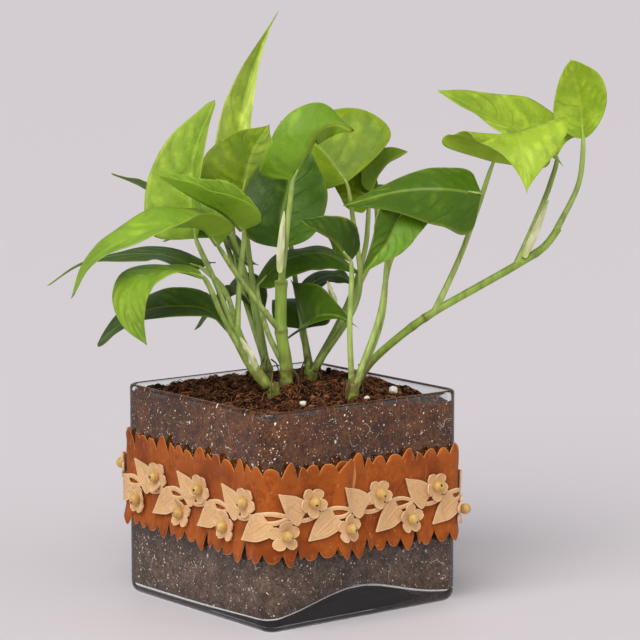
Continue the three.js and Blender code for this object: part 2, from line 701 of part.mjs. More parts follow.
function leafBlade(leaf) {
  const shape = { ...PLAIN_LEAF, ...leaf };
  const curve = new THREE.CatmullRomCurve3(shape.rib.map(place));
  const length = curve.getLength();
  const side = place(shape.side);
  const sideTip = place(shape.sideTip ?? shape.side);
  const half = shape.width / 2;
  const peak = shape.shoulder / (shape.shoulder + shape.taper);
  const widest = peak ** shape.shoulder * (1 - peak) ** shape.taper;
  const heart = 0.42; // share of the length that the lobes take
  const upper = [];
  const lower = [];
  for (let i = 0; i <= BLADE.along; i += 1) {
    const t = (i / BLADE.along) ** 1.25;
    const swell = (t ** shape.shoulder * (1 - t) ** shape.taper) / widest;
    const back = t < heart ? shape.lobe * Math.sin((Math.PI * t) / heart) : 0;
    const fold = THREE.MathUtils.lerp(shape.fold[0], shape.fold[1], t);
    upper.push([]);
    lower.push([]);
    for (let j = 0; j <= BLADE.across; j += 1) {
      const s = (2 * j) / BLADE.across - 1;
      const reach = Math.abs(s) * half * swell;
      const along = t - back * Math.abs(s) ** 1.5 + shape.slant * s * Math.sin(Math.PI * t);
      const tangent = curve.getTangentAt(Math.max(0, along));
      const spot = curve.getPointAt(Math.max(0, along)).addScaledVector(tangent, Math.min(0, along) * length);
      const across = side.clone().lerp(sideTip, t);
      across.addScaledVector(tangent, -across.dot(tangent)).normalize();
      const normal = new THREE.Vector3().crossVectors(across, tangent);
      const rolled = s < 0 ? shape.roll * (1 - t) ** 3 : 0;
      const phi = THREE.MathUtils.degToRad(fold + Math.sign(s) * shape.skew + rolled);
      const wave = 0.8 * Math.sin(2 * Math.PI * (2.2 * t + 0.3 * Math.sign(s))) * s * s * Math.min(1, swell);
      const cup = (0.1 * reach * reach) / half;
      spot.addScaledVector(across, Math.sign(s) * reach * Math.cos(phi));
      spot.addScaledVector(normal, reach * Math.sin(phi) - cup + wave);
      upper[i].push(spot);
      lower[i].push(spot.clone().addScaledVector(normal, -BLADE.thick / Math.max(0.5, Math.cos(phi))));
    }
  }
  return plate(upper, lower);
}

function leafStalk(leaf) {
  const rib = new THREE.CatmullRomCurve3(leaf.rib.map(place));
  const inBlade = rib.getPointAt(3 / rib.getLength());
  return rod([...leaf.stalk.map(place), rib.getPointAt(0), inBlade], STALK.radius, STALK.sides, STALK.step);
}

function leafyShoot(shoot) {
  const [across, near] = shoot.root;
  const foot = place([across, near, 0]);
  const ground = soilHeight(foot.x, foot.y);
  const bottom = new THREE.Vector3(foot.x, foot.y, ground - HOLE.depth + 1);
  const top = new THREE.Vector3(foot.x, foot.y, 94);
  const pieces = [rod([bottom, top], shoot.thick, STEM.sides, STEM.step)];
  shoot.stems.forEach((path) => pieces.push(rod(path.map(place), shoot.thick - 0.25, STEM.sides, STEM.step)));
  shoot.leaves.forEach((leaf) => pieces.push(leafStalk(leaf), leafBlade(leaf)));
  return fuse(pieces);
}

// ---- the whole object ----
function pottedPothos() {
  const whole = new THREE.Group();
  whole.add(named('glass_pot', glassVase(), COLOUR.glass, 0.08));
  whole.add(named('soil', soilBlock(), COLOUR.soil, 0.95));
  whole.add(named('suede_band', suedeBand(), COLOUR.rust, 0.85));
  whole.add(named('lace_garland', laceGarland(), COLOUR.tan, 0.85));
  flowerSpots().forEach((spot, k) => whole.add(named(`wooden_bead_${k + 1}`, bead(spot), COLOUR.wood, 0.5)));
  const random = seededRandom(7);
  PERLITE.forEach((lump, k) => {
    whole.add(named(`perlite_${k + 1}`, perliteLump(lump, random), COLOUR.perlite, 0.9));
  });
  SHOOTS.forEach((shoot) => {
    const colour = shoot.name === 'shoot_trailing' ? COLOUR.vine : COLOUR.leaf;
    whole.add(named(shoot.name, leafyShoot(shoot), colour, 0.35));
  });
  return whole;
}

export default pottedPothos();
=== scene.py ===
import math
from typing import NamedTuple

import bpy
import numpy as np
from bpy.props import FloatProperty, FloatVectorProperty, IntProperty, PointerProperty
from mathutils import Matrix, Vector


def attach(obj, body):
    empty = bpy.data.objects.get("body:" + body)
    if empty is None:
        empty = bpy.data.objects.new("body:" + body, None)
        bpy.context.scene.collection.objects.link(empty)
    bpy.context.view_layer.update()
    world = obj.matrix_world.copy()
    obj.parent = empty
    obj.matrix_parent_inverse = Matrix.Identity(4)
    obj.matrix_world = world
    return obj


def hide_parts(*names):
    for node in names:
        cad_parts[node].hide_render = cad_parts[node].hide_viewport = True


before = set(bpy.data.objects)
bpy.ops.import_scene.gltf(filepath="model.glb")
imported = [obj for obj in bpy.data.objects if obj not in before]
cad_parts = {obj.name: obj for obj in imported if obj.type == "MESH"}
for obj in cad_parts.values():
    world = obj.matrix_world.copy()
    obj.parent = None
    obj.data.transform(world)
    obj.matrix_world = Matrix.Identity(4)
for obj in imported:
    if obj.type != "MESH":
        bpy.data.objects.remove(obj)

bl_info = {
    "name": "Potted Pothos",
    "version": (1, 0, 0),
    "blender": (4, 5, 0),
    "location": "3D View > Sidebar > Pothos",
    "description": "Dresses the packed pothos in its glass vase with leather band and garland",
    "category": "Add Mesh",
}

# Shapes are worked out in millimetres, +Z up, from the centre of the vase's base.
MM = 0.001
TURN = math.radians(38.1)  # the foliage is arranged as seen past one corner of the vase
TOWARD = np.array([-math.sin(TURN), -math.cos(TURN), 0.0])

VASE_SIDE = 100.0
VASE_HEIGHT = 89.0
VASE_WALL = 3.0
VASE_CORNER = 7.0
VASE_FOOT = 5.0
HALF = VASE_SIDE / 2
INSIDE = HALF - VASE_WALL
STRAIGHT = VASE_SIDE - 2 * VASE_CORNER
BEND = (VASE_CORNER + 1.5) * math.pi / 2  # round a corner, measured in the leather
QUARTER = STRAIGHT + BEND
GAP = 0.3
SEATED = 0.08  # the damp soil clings to the glass, so it is drawn a hair into the wall
# The glass floor and the hump along its -Y side
FLOOR_THIN, HUMP_RISE, HUMP_X, HUMP_WIDTH, HUMP_REACH = 3.5, 9.5, -3, 30, 34

SOIL_LEVEL = 86.3
MOUND_RISE, MOUND_SPREAD = 4.2, 26
DIP_DEPTH, DIP_SPREAD = 3.5, 16
PERLITE = ((30, -30, 4.2), (-21, -35, 3.0), (8, -40, 2.4))  # x, y and size of each lump

BAND_MIDDLE = 48.4
BAND_HALF = 20.2
BAND_THICK = 1.1
BAND_TILT = 0.02
BAND_START = 25.0
BAND_OVERLAP = 8.0
BAND_END = BAND_START + 4 * QUARTER + BAND_OVERLAP
BAND_RISE = 1.5
BAND_CLIMB = 14.0
ROLL_RISE, ROLL_BACK, ROLL_WIDTH = 1.5, 5.5, 3.2  # the soft roll near its end
BAND_CORE = 11.5  # the leather is plain within this height of its middle
SCALLOP_PITCH = 25.9
SCALLOP_FIRST = 41.5
NOTCH_DEPTH = 7.6
# A scallop repeat is a row of petals along the edge: (place, depth of the tip, reach to the
# left, reach to the right, roundness).
PETALS = (
    (1.2, 0.9, 1.1, 5.6, 1.45),
    (7.0, 0.5, 4.7, 4.0, 2.5),
    (13.6, 0.8, 4.4, 5.9, 2.6),
    (21.8, -0.8, 4.5, 3.3, 1.7),
)

LACE_PITCH = 30.3
LACE_FIRST = 30.2
LACE_MIDDLE = -0.9
LACE_REPEATS = 13
LACE_START = BAND_START + BAND_OVERLAP + 1
LACE_END = BAND_END + 5.5
LACE_LEAF_WIDTH = 10.6
# Places in each repeat, as (run, height): the foot and tip of both leaves, and the flowers.
LACE_LEAVES = (((12.6, -0.2), (-0.4, 9.4)), ((27.4, -1.0), (14.9, -11.4)))
FLOWER_PLACES = ((3, -6.9), (16.5, 5.2))
FLOWER_RADIUS = 6.0
VINE_WAVE, VINE_HALF = 1.9, 0.85
BEAD_PROFILE = (  # (height along the hole, radius), both as shares of the bead's radius
    (-0.99, 0.25), (-0.86, 0.55), (-0.6, 0.81), (-0.25, 0.97), (0.1, 1.0), (0.45, 0.9), (0.72, 0.7),
    (0.88, 0.5), (0.95, 0.33), (0.94, 0.22), (0.75, 0.17), (0.4, 0.15),
)

STALK_RADII = (1.5, 1.25, 1.15, 1.1, 1.15, 1.0, 0.35)
ROOT_RADII = (0.38, 0.3, 0.2)
LOBE_END = 0.42  # the heart's lobes take up this share of the midrib
LEAF_PALER = (1.75, 1.6, 1.5)  # how much brighter a leaf is between its veins
LEAF_TONES = {
    "green": ("Tall upright leaves", (0.32, 0.47, 0.055)),
    # painted light: this tone is raised far above the leaf's own green to stand in for light shining
    # through the thin leaf
    "tall": ("Tallest young leaf", (0.69, 0.85, 0.17)),
    "glossy": ("Curled leaf in the middle", (0.18, 0.33, 0.018)),
    "bright": ("Young leaves", (0.24, 0.40, 0.03)),
    "deep": ("Old leaves low in the plant", (0.036, 0.078, 0.004)),
    "lime": ("Yellow-green leaves of the vine", (0.32, 0.47, 0.03)),
    "dark": ("Old shaded leaves", (0.068, 0.140, 0.006)),
    "middle": ("Old leaf in the middle", (0.062, 0.15, 0.004)),
    "olive": ("Yellowish leaves at the back", (0.185, 0.285, 0.002)),
}
PERLITE_DUST = (0.42, 0.33, 0.25)  # soil rubbed into the lumps
BEAD_HOLE_SHADE = (0.05, 0.025, 0.01)  # painted shade: near-black colour inside the holes

CAMERA_SPOT = (-0.7479, -0.9728, 0.2913)  # metres
AIM = (0, 0, 0.1)
KEY_SPOT, KEY_SPREAD = (-330, 760, 1000), 55  # [across, towards the viewer, height], and degrees
FILL_SPOT, FILL_SPREAD = (800, 500, 500), 60
CAMERA_YAW, CAMERA_PITCH = math.radians(38.11), math.radians(8.10)
CAMERA_LENS, CAMERA_SENSOR = 168.75, 36.0


# ---- points, curves and noise ----
def place(points):
    """Turns [across, towards the viewer, height] into the object's own x, y, z."""
    across, toward, height = np.moveaxis(np.asarray(points, float), -1, 0)
    x = across * math.cos(TURN) - toward * math.sin(TURN)
    y = -across * math.sin(TURN) - toward * math.cos(TURN)
    return np.stack([x, y, height], axis=-1)


def unit(v):
    return v / np.maximum(np.linalg.norm(v, axis=-1, keepdims=True), 1e-9)


def circle(count):
    return np.linspace(0, 2 * math.pi, count, endpoint=False)


def both(grid):
    """Columns across one face and back across the other."""
    return np.concatenate([grid, grid[:, ::-1]], axis=1)


def smoothstep(x, low, high):
    t = np.clip((x - low) / (high - low), 0, 1)
    return t * t * (3 - 2 * t)


def noise(points, scale, seed=0):
    """Smooth noise from -1 to 1: random numbers on the corners of a grid of cells `scale` wide,
    blended between the corners by the smoothed share of the way across each cell."""
    p = np.asarray(points, float) / scale + 100.37 * (seed + 1)
    cell = np.floor(p).astype(np.int64)
    f = p - cell
    f = f * f * (3 - 2 * f)
    total = np.zeros(p.shape[:-1])
    dims = p.shape[-1]
    for corner in range(2**dims):
        key = np.full(p.shape[:-1], 1013 + seed * 7919, np.int64)
        weight = np.ones(p.shape[:-1])
        for k in range(dims):
            bit = (corner >> k) & 1
            key = key * 31 + (cell[..., k] + bit) * (73856093, 19349663, 83492791)[k]
            weight = weight * (f[..., k] if bit else 1 - f[..., k])
        key = (key ^ (key >> 13)) * 1274126177
        value = ((key ^ (key >> 16)) & 0xFFFF) / 32767.5 - 1
        total = total + weight * value
    return total


class Curve:
    """A smooth curve through points: a centripetal Catmull-Rom spline read by its share of the
    length, and carried on straight before its start and past its end."""

    def __init__(self, points, dense=60):
        p = np.asarray(points, float)
        spans = len(p) - 1
        padded = np.vstack([2 * p[0] - p[1], p, 2 * p[-1] - p[-2]])
        gap = np.sqrt(np.linalg.norm(np.diff(padded, axis=0), axis=1))
        u = np.linspace(0, spans, spans * dense + 1)
        i = np.minimum(u.astype(int), spans - 1)
        f = (u - i)[:, None]
        a, b, c, d = (padded[i + k] for k in range(4))
        g0, g1, g2 = (gap[i + k][:, None] for k in range(3))
        m1 = ((b - a) / g0 - (c - a) / (g0 + g1) + (c - b) / g1) * g1
        m2 = ((c - b) / g1 - (d - b) / (g1 + g2) + (d - c) / g2) * g1
        self.points = b + m1 * f + (3 * (c - b) - 2 * m1 - m2) * f**2 + (2 * (b - c) + m1 + m2) * f**3
        reach = np.concatenate([[0], np.cumsum(np.linalg.norm(np.diff(self.points, axis=0), axis=1))])
        self.length = reach[-1]
        self.share = reach / self.length
        self.tangents = unit(np.gradient(self.points, reach, axis=0))

    def at(self, share):
        share = np.asarray(share, float)
        inside = np.clip(share, 0, 1)
        read = lambda rows: np.stack([np.interp(inside, self.share, rows[:, k]) for k in range(3)], -1)
        tangent = unit(read(self.tangents))
        return read(self.points) + (share - inside)[..., None] * self.length * tangent, tangent


# ---- meshes ----
class Pile:
    """Closed shapes gathered into one mesh, with numbers carried on their points."""

    def __init__(self):
        self.points, self.loops, self.sizes, self.kinds = [], [], [], []
        self.numbers = {}
        self.count = 0

    def add_skin(self, first, rings, last, kind=0, **numbers):
        """A closed skin: a point, a stack of like rings counterclockwise about the way to the last
        point, and that point. Quads join ring to ring, triangles close both ends."""
        rings = np.asarray(rings, float)
        rows, around = rings.shape[:2]
        total = rows * around + 2
        self.points.append(np.vstack([first, rings.reshape(-1, 3), last]))
        grid = self.count + 1 + np.arange(rows * around).reshape(rows, around)
        beside = np.roll(grid, -1, axis=1)
        quads = np.stack([grid[:-1], beside[:-1], beside[1:], grid[1:]], -1).reshape(-1, 4)
        start = np.stack([np.full(around, self.count), beside[0], grid[0]], -1)
        end = np.stack([np.full(around, self.count + total - 1), grid[-1], beside[-1]], -1)
        self.loops += [quads.ravel(), start.ravel(), end.ravel()]
        self.sizes += [np.full(len(quads), 4), np.full(2 * around, 3)]
        self.kinds.append(np.full(len(quads) + 2 * around, kind))
        for name, value in numbers.items():
            value = np.asarray(value, float)
            wide = value.shape[-1:] if name == "tint" else ()
            full = np.broadcast_to(value, (rows, around) + wide)
            ends = [full[0].mean(0)[None], full.reshape((-1,) + wide), full[-1].mean(0)[None]]
            self.numbers.setdefault(name, []).append(np.concatenate(ends))
        self.count += total

    def add_sheet(self, rings, **numbers):
        """A closed skin whose ends are the middles of its first and last rings."""
        self.add_skin(rings[0].mean(0), rings, rings[-1].mean(0), **numbers)

    def build(self, name, materials, crease=None):
        points = np.vstack(self.points) * MM
        loops = np.concatenate(self.loops)
        sizes = np.concatenate(self.sizes)
        mesh = bpy.data.meshes.new(name)
        mesh.vertices.add(len(points))
        mesh.vertices.foreach_set("co", points.ravel())
        mesh.loops.add(len(loops))
        mesh.loops.foreach_set("vertex_index", loops.astype(np.int32))
        mesh.polygons.add(len(sizes))
        mesh.polygons.foreach_set("loop_start", (np.cumsum(sizes) - sizes).astype(np.int32))
        mesh.polygons.foreach_set("material_index", np.concatenate(self.kinds).astype(np.int32))
        for key, parts in self.numbers.items():
            values = np.concatenate(parts)
            wide = values.ndim == 2
            if wide:
                values = np.hstack([values, np.ones((len(values), 1))])
            layer = mesh.attributes.new(key, "FLOAT_COLOR" if wide else "FLOAT", "POINT")
            layer.data.foreach_set("color" if wide else "value", values.ravel())
        mesh.update(calc_edges=True)
        mesh.validate()
        mesh.shade_smooth()
        if crease:
            mesh.set_sharp_from_angle(angle=math.radians(crease))
        piece = bpy.data.objects.new(name, mesh)
        bpy.context.scene.collection.objects.link(piece)
        for material in materials:
            mesh.materials.append(material)
        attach(piece, "root")
        return piece


# ---- materials ----
class Nodes:
    """Writes a node material line by line."""

    def __init__(self, name):
        self.material = bpy.data.materials.new(name)
        self.material.use_nodes = True
        self.tree = self.material.node_tree
        self.shader = self.tree.nodes["Principled BSDF"]

    def put(self, socket, value):
        if isinstance(value, bpy.types.NodeSocket):
            self.tree.links.new(value, socket)
        else:
            socket.default_value = (*value[:3], 1) if socket.type == "RGBA" else value

    def node(self, kind, *values, settings=None, **inputs):
        """A node whose first sockets take the values, and whose named sockets take the inputs."""
        made = self.tree.nodes.new(kind)
        for key, value in (settings or {}).items():
            setattr(made, key, value)
        for socket, value in zip(made.inputs, values):
            self.put(socket, value)
        for key, value in inputs.items():
            self.put(next(s for s in made.inputs if s.name == key and s.enabled), value)
        return made

    def attribute(self, name):
        made = self.node("ShaderNodeAttribute", settings={"attribute_name": name})
        return made.outputs["Color" if name == "tint" else "Fac"]

    def math(self, operation, a, b=0.0):
        return self.node("ShaderNodeMath", a, b, settings={"operation": operation}).outputs[0]

    def times(self, a, b):
        return self.math("MULTIPLY", a, b)

    def plus(self, a, b):
        return self.math("ADD", a, b)

    def apart(self, a, b=0.5):
        return self.math("ABSOLUTE", self.math("SUBTRACT", a, b))

    def ramp(self, value, low, high, to_low=0.0, to_high=1.0):
        """A smooth step from to_low, where the value is low, to to_high, where it is high."""
        smooth = {"interpolation_type": "SMOOTHSTEP"}
        made = self.node("ShaderNodeMapRange", value, low, high, to_low, to_high, settings=smooth)
        return made.outputs[0]

    def mix(self, share, a, b, blend="MIX"):
        made = self.node("ShaderNodeMix", share, settings={"data_type": "RGBA", "blend_type": blend})
        self.put(made.inputs[6], a)
        self.put(made.inputs[7], b)
        return made.outputs[2]

    def where(self, stretch=(1, 1, 1)):
        spot = self.node("ShaderNodeTexCoord").outputs["Object"]
        return self.node("ShaderNodeMapping", Vector=spot, Scale=stretch).outputs[0]

    def height(self):
        return self.node("ShaderNodeSeparateXYZ", self.where()).outputs["Z"]

    def cloud(self, scale, detail=3.0, stretch=(1, 1, 1)):
        """Noise on Object coordinates, `scale` waves to a metre."""
        spot = self.where(stretch)
        made = self.node("ShaderNodeTexNoise", Vector=spot, Scale=scale, Detail=detail, Roughness=0.6)
        return made.outputs["Fac"]

    def patches(self, scale, detail, low, high, amount=1.0, stretch=(1, 1, 1)):
        """The places where such noise is high, at most by `amount`."""
        return self.ramp(self.cloud(scale, detail, stretch), low, high, 0, amount)

    def cells(self, scale):
        return self.node("ShaderNodeTexVoronoi", Vector=self.where(), Scale=scale).outputs["Distance"]

    def bump(self, height, strength, distance, below=None):
        made = self.node("ShaderNodeBump", Strength=strength, Distance=distance, Height=height)
        if below is not None:
            self.put(made.inputs["Normal"], below)
        return made.outputs[0]

    def finish(self, **sockets):
        for key, value in sockets.items():
            self.put(self.shader.inputs[key.replace("_", " ")], value)
        return self.material


# ---- the vase ----
def wall_ring(out, corner=10, side=10):
    """Plan outline of the vase grown by `out`: four straight sides joined by quarter circles."""
    straight = HALF - VASE_CORNER
    along = np.linspace(-straight, straight, side, endpoint=False)
    angle = np.linspace(0, math.pi / 2, corner, endpoint=False)
    radius = VASE_CORNER + out
    x = np.concatenate([along, straight + radius * np.sin(angle)])
    y = np.concatenate([np.full(side, -HALF - out), -straight - radius * np.cos(angle)])
    quarters = [(x, y), (-y, x), (-x, -y), (y, -x)]
    return np.concatenate([np.stack(q, -1) for q in quarters])


def floor_height(x, y):
    """The glass floor: thin, with a bell-shaped hump along the -Y wall."""
    hump = np.exp(-(((x - HUMP_X) / HUMP_WIDTH) ** 2) - ((y + HALF) / HUMP_REACH) ** 2)
    return FLOOR_THIN + HUMP_RISE * hump


def with_height(plan, height):
    return np.column_stack([plan, height(plan[:, 0], plan[:, 1])])


def make_vase(settings):
    """Rings of the vase's outline, one for each (out, height) of a profile that goes up round the
    foot, over the lip and down inside, then rings that shrink over the floor to its middle."""
    foot, lip = np.radians(np.linspace(0, 90, 6)), np.radians(np.linspace(0, 180, 9))
    bend = VASE_WALL / 2
    profile = [(VASE_FOOT * (math.sin(a) - 1), VASE_FOOT * (1 - math.cos(a))) for a in foot]
    profile += [(0, z) for z in (12, 25, 40, 55, 70, 82)]
    profile += [(bend * (math.cos(a) - 1), VASE_HEIGHT - bend + bend * math.sin(a)) for a in lip]
    profile += [(-VASE_WALL, z) for z in (80, 60, 40, 22, 17)]
    rings = [
        with_height(wall_ring(out), lambda x, y: np.full(x.shape, height)) for out, height in profile
    ]
    inner = wall_ring(-VASE_WALL)
    shrinks = [(1.0, 1.6), (0.985, 0.5)] + [(share, 0) for share in (0.95, 0.85, 0.7, 0.5, 0.3, 0.12)]
    for shrink, lift in shrinks:
        rings.append(with_height(inner * shrink, lambda x, y: floor_height(x, y) + lift))
    pile = Pile()
    pile.add_skin((0, 0, 0), rings, (0, 0, floor_height(0, 0)))
    look = Nodes("clear_pressed_glass")
    material = look.finish(
        Base_Color=settings.glass_tint,
        Roughness=0.05,
        IOR=1.47,
        Transmission_Weight=1.0,
        Specular_IOR_Level=0.25,
        Normal=look.bump(look.cloud(14, 1.5), 0.06, 0.002),
    )
    piece = pile.build("vase_glass", [material], crease=50)
    piece.visible_shadow = False  # clear glass hardly dims the soil and the floor behind it
    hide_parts("glass_pot")


# ---- the soil ----
def soil_height(x, y):
    """Mounded round the stems, level at the walls, lower in the corner at +X -Y, and lumpy."""
    mound = MOUND_RISE * np.exp(-(x * x + y * y) / (2 * MOUND_SPREAD**2))
    dip = DIP_DEPTH * np.exp(-(((x - 42) ** 2 + (y + 42) ** 2) / DIP_SPREAD**2))
    return SOIL_LEVEL + mound - dip + 0.8 * np.sin(0.31 * x + 0.6) * np.sin(0.27 * y + 1.1)


def soil_surface(x, y):
    """The soil's height with crumbs of three sizes raised on it."""
    spot = np.stack([x, y], -1)
    inside = smoothstep(INSIDE - np.maximum(np.abs(x), np.abs(y)), 0, 3)
    crumbs = 1.2 * noise(spot, 5.2, 1) + 0.85 * noise(spot, 2.3, 2) + 0.4 * noise(spot, 1.0, 3)
    return soil_height(x, y) + crumbs * (0.35 + 0.65 * inside)


def soil_look(settings):
    """Coir mix: dark and light grains in blotches of three sizes, redder towards the top, with
    white grains of three sizes and a few pale hairs where it lies against the glass; on top, painted
    shade darkens the hollows between the crumbs."""
    look = Nodes("coir_potting_mix")
    top, grain, wide = look.attribute("top"), look.cloud(900, 4), look.cloud(38, 3)
    redder = look.ramp(look.plus(look.height(), look.times(wide, 0.02)), 0.04, 0.088)
    dark = look.mix(redder, settings.packed_dark, settings.upper_dark)
    light = look.mix(redder, settings.packed_light, settings.upper_light)
    mottle = look.plus(look.times(grain, 0.5), look.times(look.cloud(150, 4), 0.32))
    mottle = look.plus(mottle, look.times(wide, 0.18))
    through = look.mix(look.ramp(mottle, 0.4, 0.62), dark, light)
    through = look.mix(look.patches(260, 3, 0.58, 0.68, 0.6), through, dark)
    fibre = look.cloud(700, 2, (1, 1, 0.12))
    # painted shade: near-black where the fine grain is low, the hollows of the bump below
    open_top = look.mix(look.ramp(grain, 0.42, 0.66), settings.hollow_shade_and_dark_fibre, settings.coir)
    open_top = look.mix(look.ramp(fibre, 0.58, 0.66, 0, 0.6), open_top, settings.fibre)
    ragged = look.times(look.cloud(1500, 2), 0.22)
    hair = look.ramp(look.apart(look.cloud(70, 1.5)), 0.004, 0.0015)
    white = look.times(hair, look.patches(110, 1, 0.58, 0.62, 0.6))
    for scale, size, share in ((900, 0.30, 0.54), (430, 0.27, 0.56), (150, 0.21, 0.57)):
        spot = look.ramp(look.plus(look.cells(scale), ragged), size + 0.04, size - 0.03)
        chosen = look.patches(scale * 0.6, 0, share, share + 0.03)
        white = look.math("MAXIMUM", white, look.times(spot, chosen))
    white = look.times(white, look.ramp(top, 0.6, 0.2))
    return look.finish(
        Base_Color=look.mix(white, look.mix(top, through, open_top), settings.perlite),
        Roughness=0.95,
        Specular_IOR_Level=0.1,
        Normal=look.bump(look.plus(grain, fibre), 0.8, 0.0009),
    )


def make_soil(settings):
    """A filled block: the vase's inner outline, closed below over the glass floor and above by
    rings that shrink to the middle, each at the soil's height."""
    bed = lambda x, y: floor_height(x, y) + 2 * GAP
    plan = wall_ring(-VASE_WALL + SEATED, 12, 44)
    rings = [with_height(plan * shrink, bed) for shrink in (0.2, 0.5, 0.8, 0.97)]
    low = with_height(plan, bed) + (0, 0, 0.8)
    high = with_height(plan, soil_surface)
    rings += [low + (high - low) * share for share in np.linspace(0, 1, 12)]
    rings += [with_height(plan * shrink, soil_surface) for shrink in np.linspace(0.985, 0.02, 62)]
    top = np.concatenate([np.zeros(15), [0.35], np.ones(62)])[:, None]  # 0 against the glass, 1 on top
    middle = float(soil_surface(np.zeros(1), np.zeros(1))[0])
    pile = Pile()
    pile.add_skin((0, 0, bed(0, 0)), rings, (0, 0, middle), top=top)
    piece = pile.build("soil_bed", [soil_look(settings)])
    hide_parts("soil")
    make_fibres(settings)


def make_fibres(settings):
    """Coir fibres: thin three-sided rods that arch over the soil, and rounder bits of husk."""
    random = np.random.default_rng(5)
    pile = Pile()
    reach = INSIDE - 3
    for _ in range(settings.fibres):
        x, y = random.uniform(-reach, reach, 2)
        heading = random.uniform(0, 2 * math.pi)
        length = random.uniform(1.2, 7.5)
        along = np.linspace(-0.5, 0.5, 6) * length
        arch = 1 - (2 * along / length) ** 2
        bow = random.uniform(-0.9, 0.9) * arch
        px = np.clip(x + along * math.cos(heading) - bow * math.sin(heading), -reach - 1, reach + 1)
        py = np.clip(y + along * math.sin(heading) + bow * math.cos(heading), -reach - 1, reach + 1)
        lift = random.uniform(0.0, 1.3) * arch
        path = np.column_stack([px, py, soil_surface(px, py) + lift + 0.1])
        shade = random.uniform(0, 1) ** 2
        rings = rod_rings(Curve(path, 12), 6, 3, np.full(6, random.uniform(0.045, 0.13)))
        pile.add_skin(path[0], rings, path[-1], shade=shade)
    for _ in range(settings.husks):
        x, y = random.uniform(-reach, reach, 2)
        size = 0.5 + 2.4 * random.uniform(0, 1) ** 3
        ground = float(soil_surface(np.array([x]), np.array([y]))[0])
        shade = 0.5 * random.uniform(0, 1) ** 2
        add_husk(pile, (x, y, ground + 0.25 * size), size, random, shade)
    look = Nodes("coir_fibre")
    colour = look.mix(look.attribute("shade"), settings.hollow_shade_and_dark_fibre, settings.fibre)
    material = look.finish(Base_Color=colour, Roughness=0.85, Specular_IOR_Level=0.2)
    piece = pile.build("coir_fibres", [material])


def add_husk(pile, centre, size, random, shade):
    """A rough lump: a ball of three rings whose points move in and out at random."""
    rings, ring = [], np.stack([np.cos(circle(6)), np.sin(circle(6))], -1)
    for height in (-0.6, 0.0, 0.6):
        radius = math.sqrt(1 - height * height) * random.uniform(0.65, 1.15, 6)
        rings.append(np.column_stack([radius[:, None] * ring, np.full(6, height * 0.8)]))
    pole = np.array([0, 0, 0.4]) * size
    pile.add_skin(centre - pole, centre + np.array(rings) * size / 2, centre + pole, shade=shade)


def make_perlite(settings):
    """The large perlite lumps: balls whose radius is roughened by noise of two sizes."""
    look = Nodes("perlite_lump")
    colour = look.mix(look.patches(500, 2, 0.4, 0.7, 0.5), settings.perlite, PERLITE_DUST)
    pitted = look.bump(look.cells(900), 0.6, 0.0006)
    material = look.finish(Base_Color=colour, Roughness=0.9, Normal=pitted)
    polar, around = np.linspace(0, math.pi, 12)[1:-1, None], circle(18)[None, :]
    ring = np.sin(polar) * np.cos(around), np.sin(polar) * np.sin(around), -np.cos(polar) + 0 * around
    ball = np.stack(ring, -1)
    for number, (x, y, size) in enumerate(PERLITE, 1):
        centre = np.array([x, y, soil_height(x, y) + 0.42 * size])
        rough = 1 + 0.22 * noise(ball, 0.7, number) + 0.08 * noise(ball, 0.25, number)
        rings = centre + ball * rough[..., None] * (0.5 * size, 0.5 * size, 0.4 * size)
        pole = np.array([0, 0, 0.4 * size])
        pile = Pile()
        pile.add_skin(centre - pole, rings, centre + pole)
        piece = pile.build(f"perlite_bit_{number}", [material])
        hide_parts(f"perlite_{number}")


# ---- round the vase ----
def wall_point(run, out, height):
    """The point `out` from the glass after running `run` along the wall from x = -43 on the -Y
    wall: straight for 86 mm, then round a quarter circle, and so on for the four sides."""
    run, out, height = np.broadcast_arrays(run, out, height)
    side, rest = np.divmod(np.mod(run, 4 * QUARTER), QUARTER)
    angle = np.clip((rest - STRAIGHT) / BEND, 0, 1) * math.pi / 2
    radius = VASE_CORNER + out
    x = np.where(rest > STRAIGHT, STRAIGHT / 2 + radius * np.sin(angle), rest - STRAIGHT / 2)
    y = np.where(rest > STRAIGHT, -STRAIGHT / 2 - radius * np.cos(angle), -HALF - out)
    turn = side * math.pi / 2
    turned = x * np.cos(turn) - y * np.sin(turn), x * np.sin(turn) + y * np.cos(turn)
    return np.stack([*turned, height], -1)


def band_lift(run):
    """How far the band lies off the glass: its end climbs over its beginning in a soft roll."""
    over = BAND_END - BAND_OVERLAP
    roll = ROLL_RISE * np.exp(-(((run - BAND_END + ROLL_BACK) / ROLL_WIDTH) ** 2))
    return GAP + BAND_RISE * smoothstep(run, over - BAND_CLIMB, over - 1) + roll


def band_middle(run):
    """Height of the band's middle, which tilts evenly across the vase."""
    spot = wall_point(run, 0, 0)
    return BAND_MIDDLE + BAND_TILT * (spot[..., 1] - spot[..., 0])


def band_bulge(run, rise):
    """How far the leather stands away from the glass, in soft waves that grow to its edges."""
    spot = np.stack(np.broadcast_arrays(np.mod(run, 4 * QUARTER), rise), -1)
    edge = smoothstep(np.abs(rise), 6, 20)
    soft = 0.5 + 0.5 * noise(spot, 17, 11)
    ripple = noise(spot, 6.5, 12)
    return 0.35 * soft + edge * (0.9 * soft + 0.45 * ripple + 0.35) + 0.12 * ripple


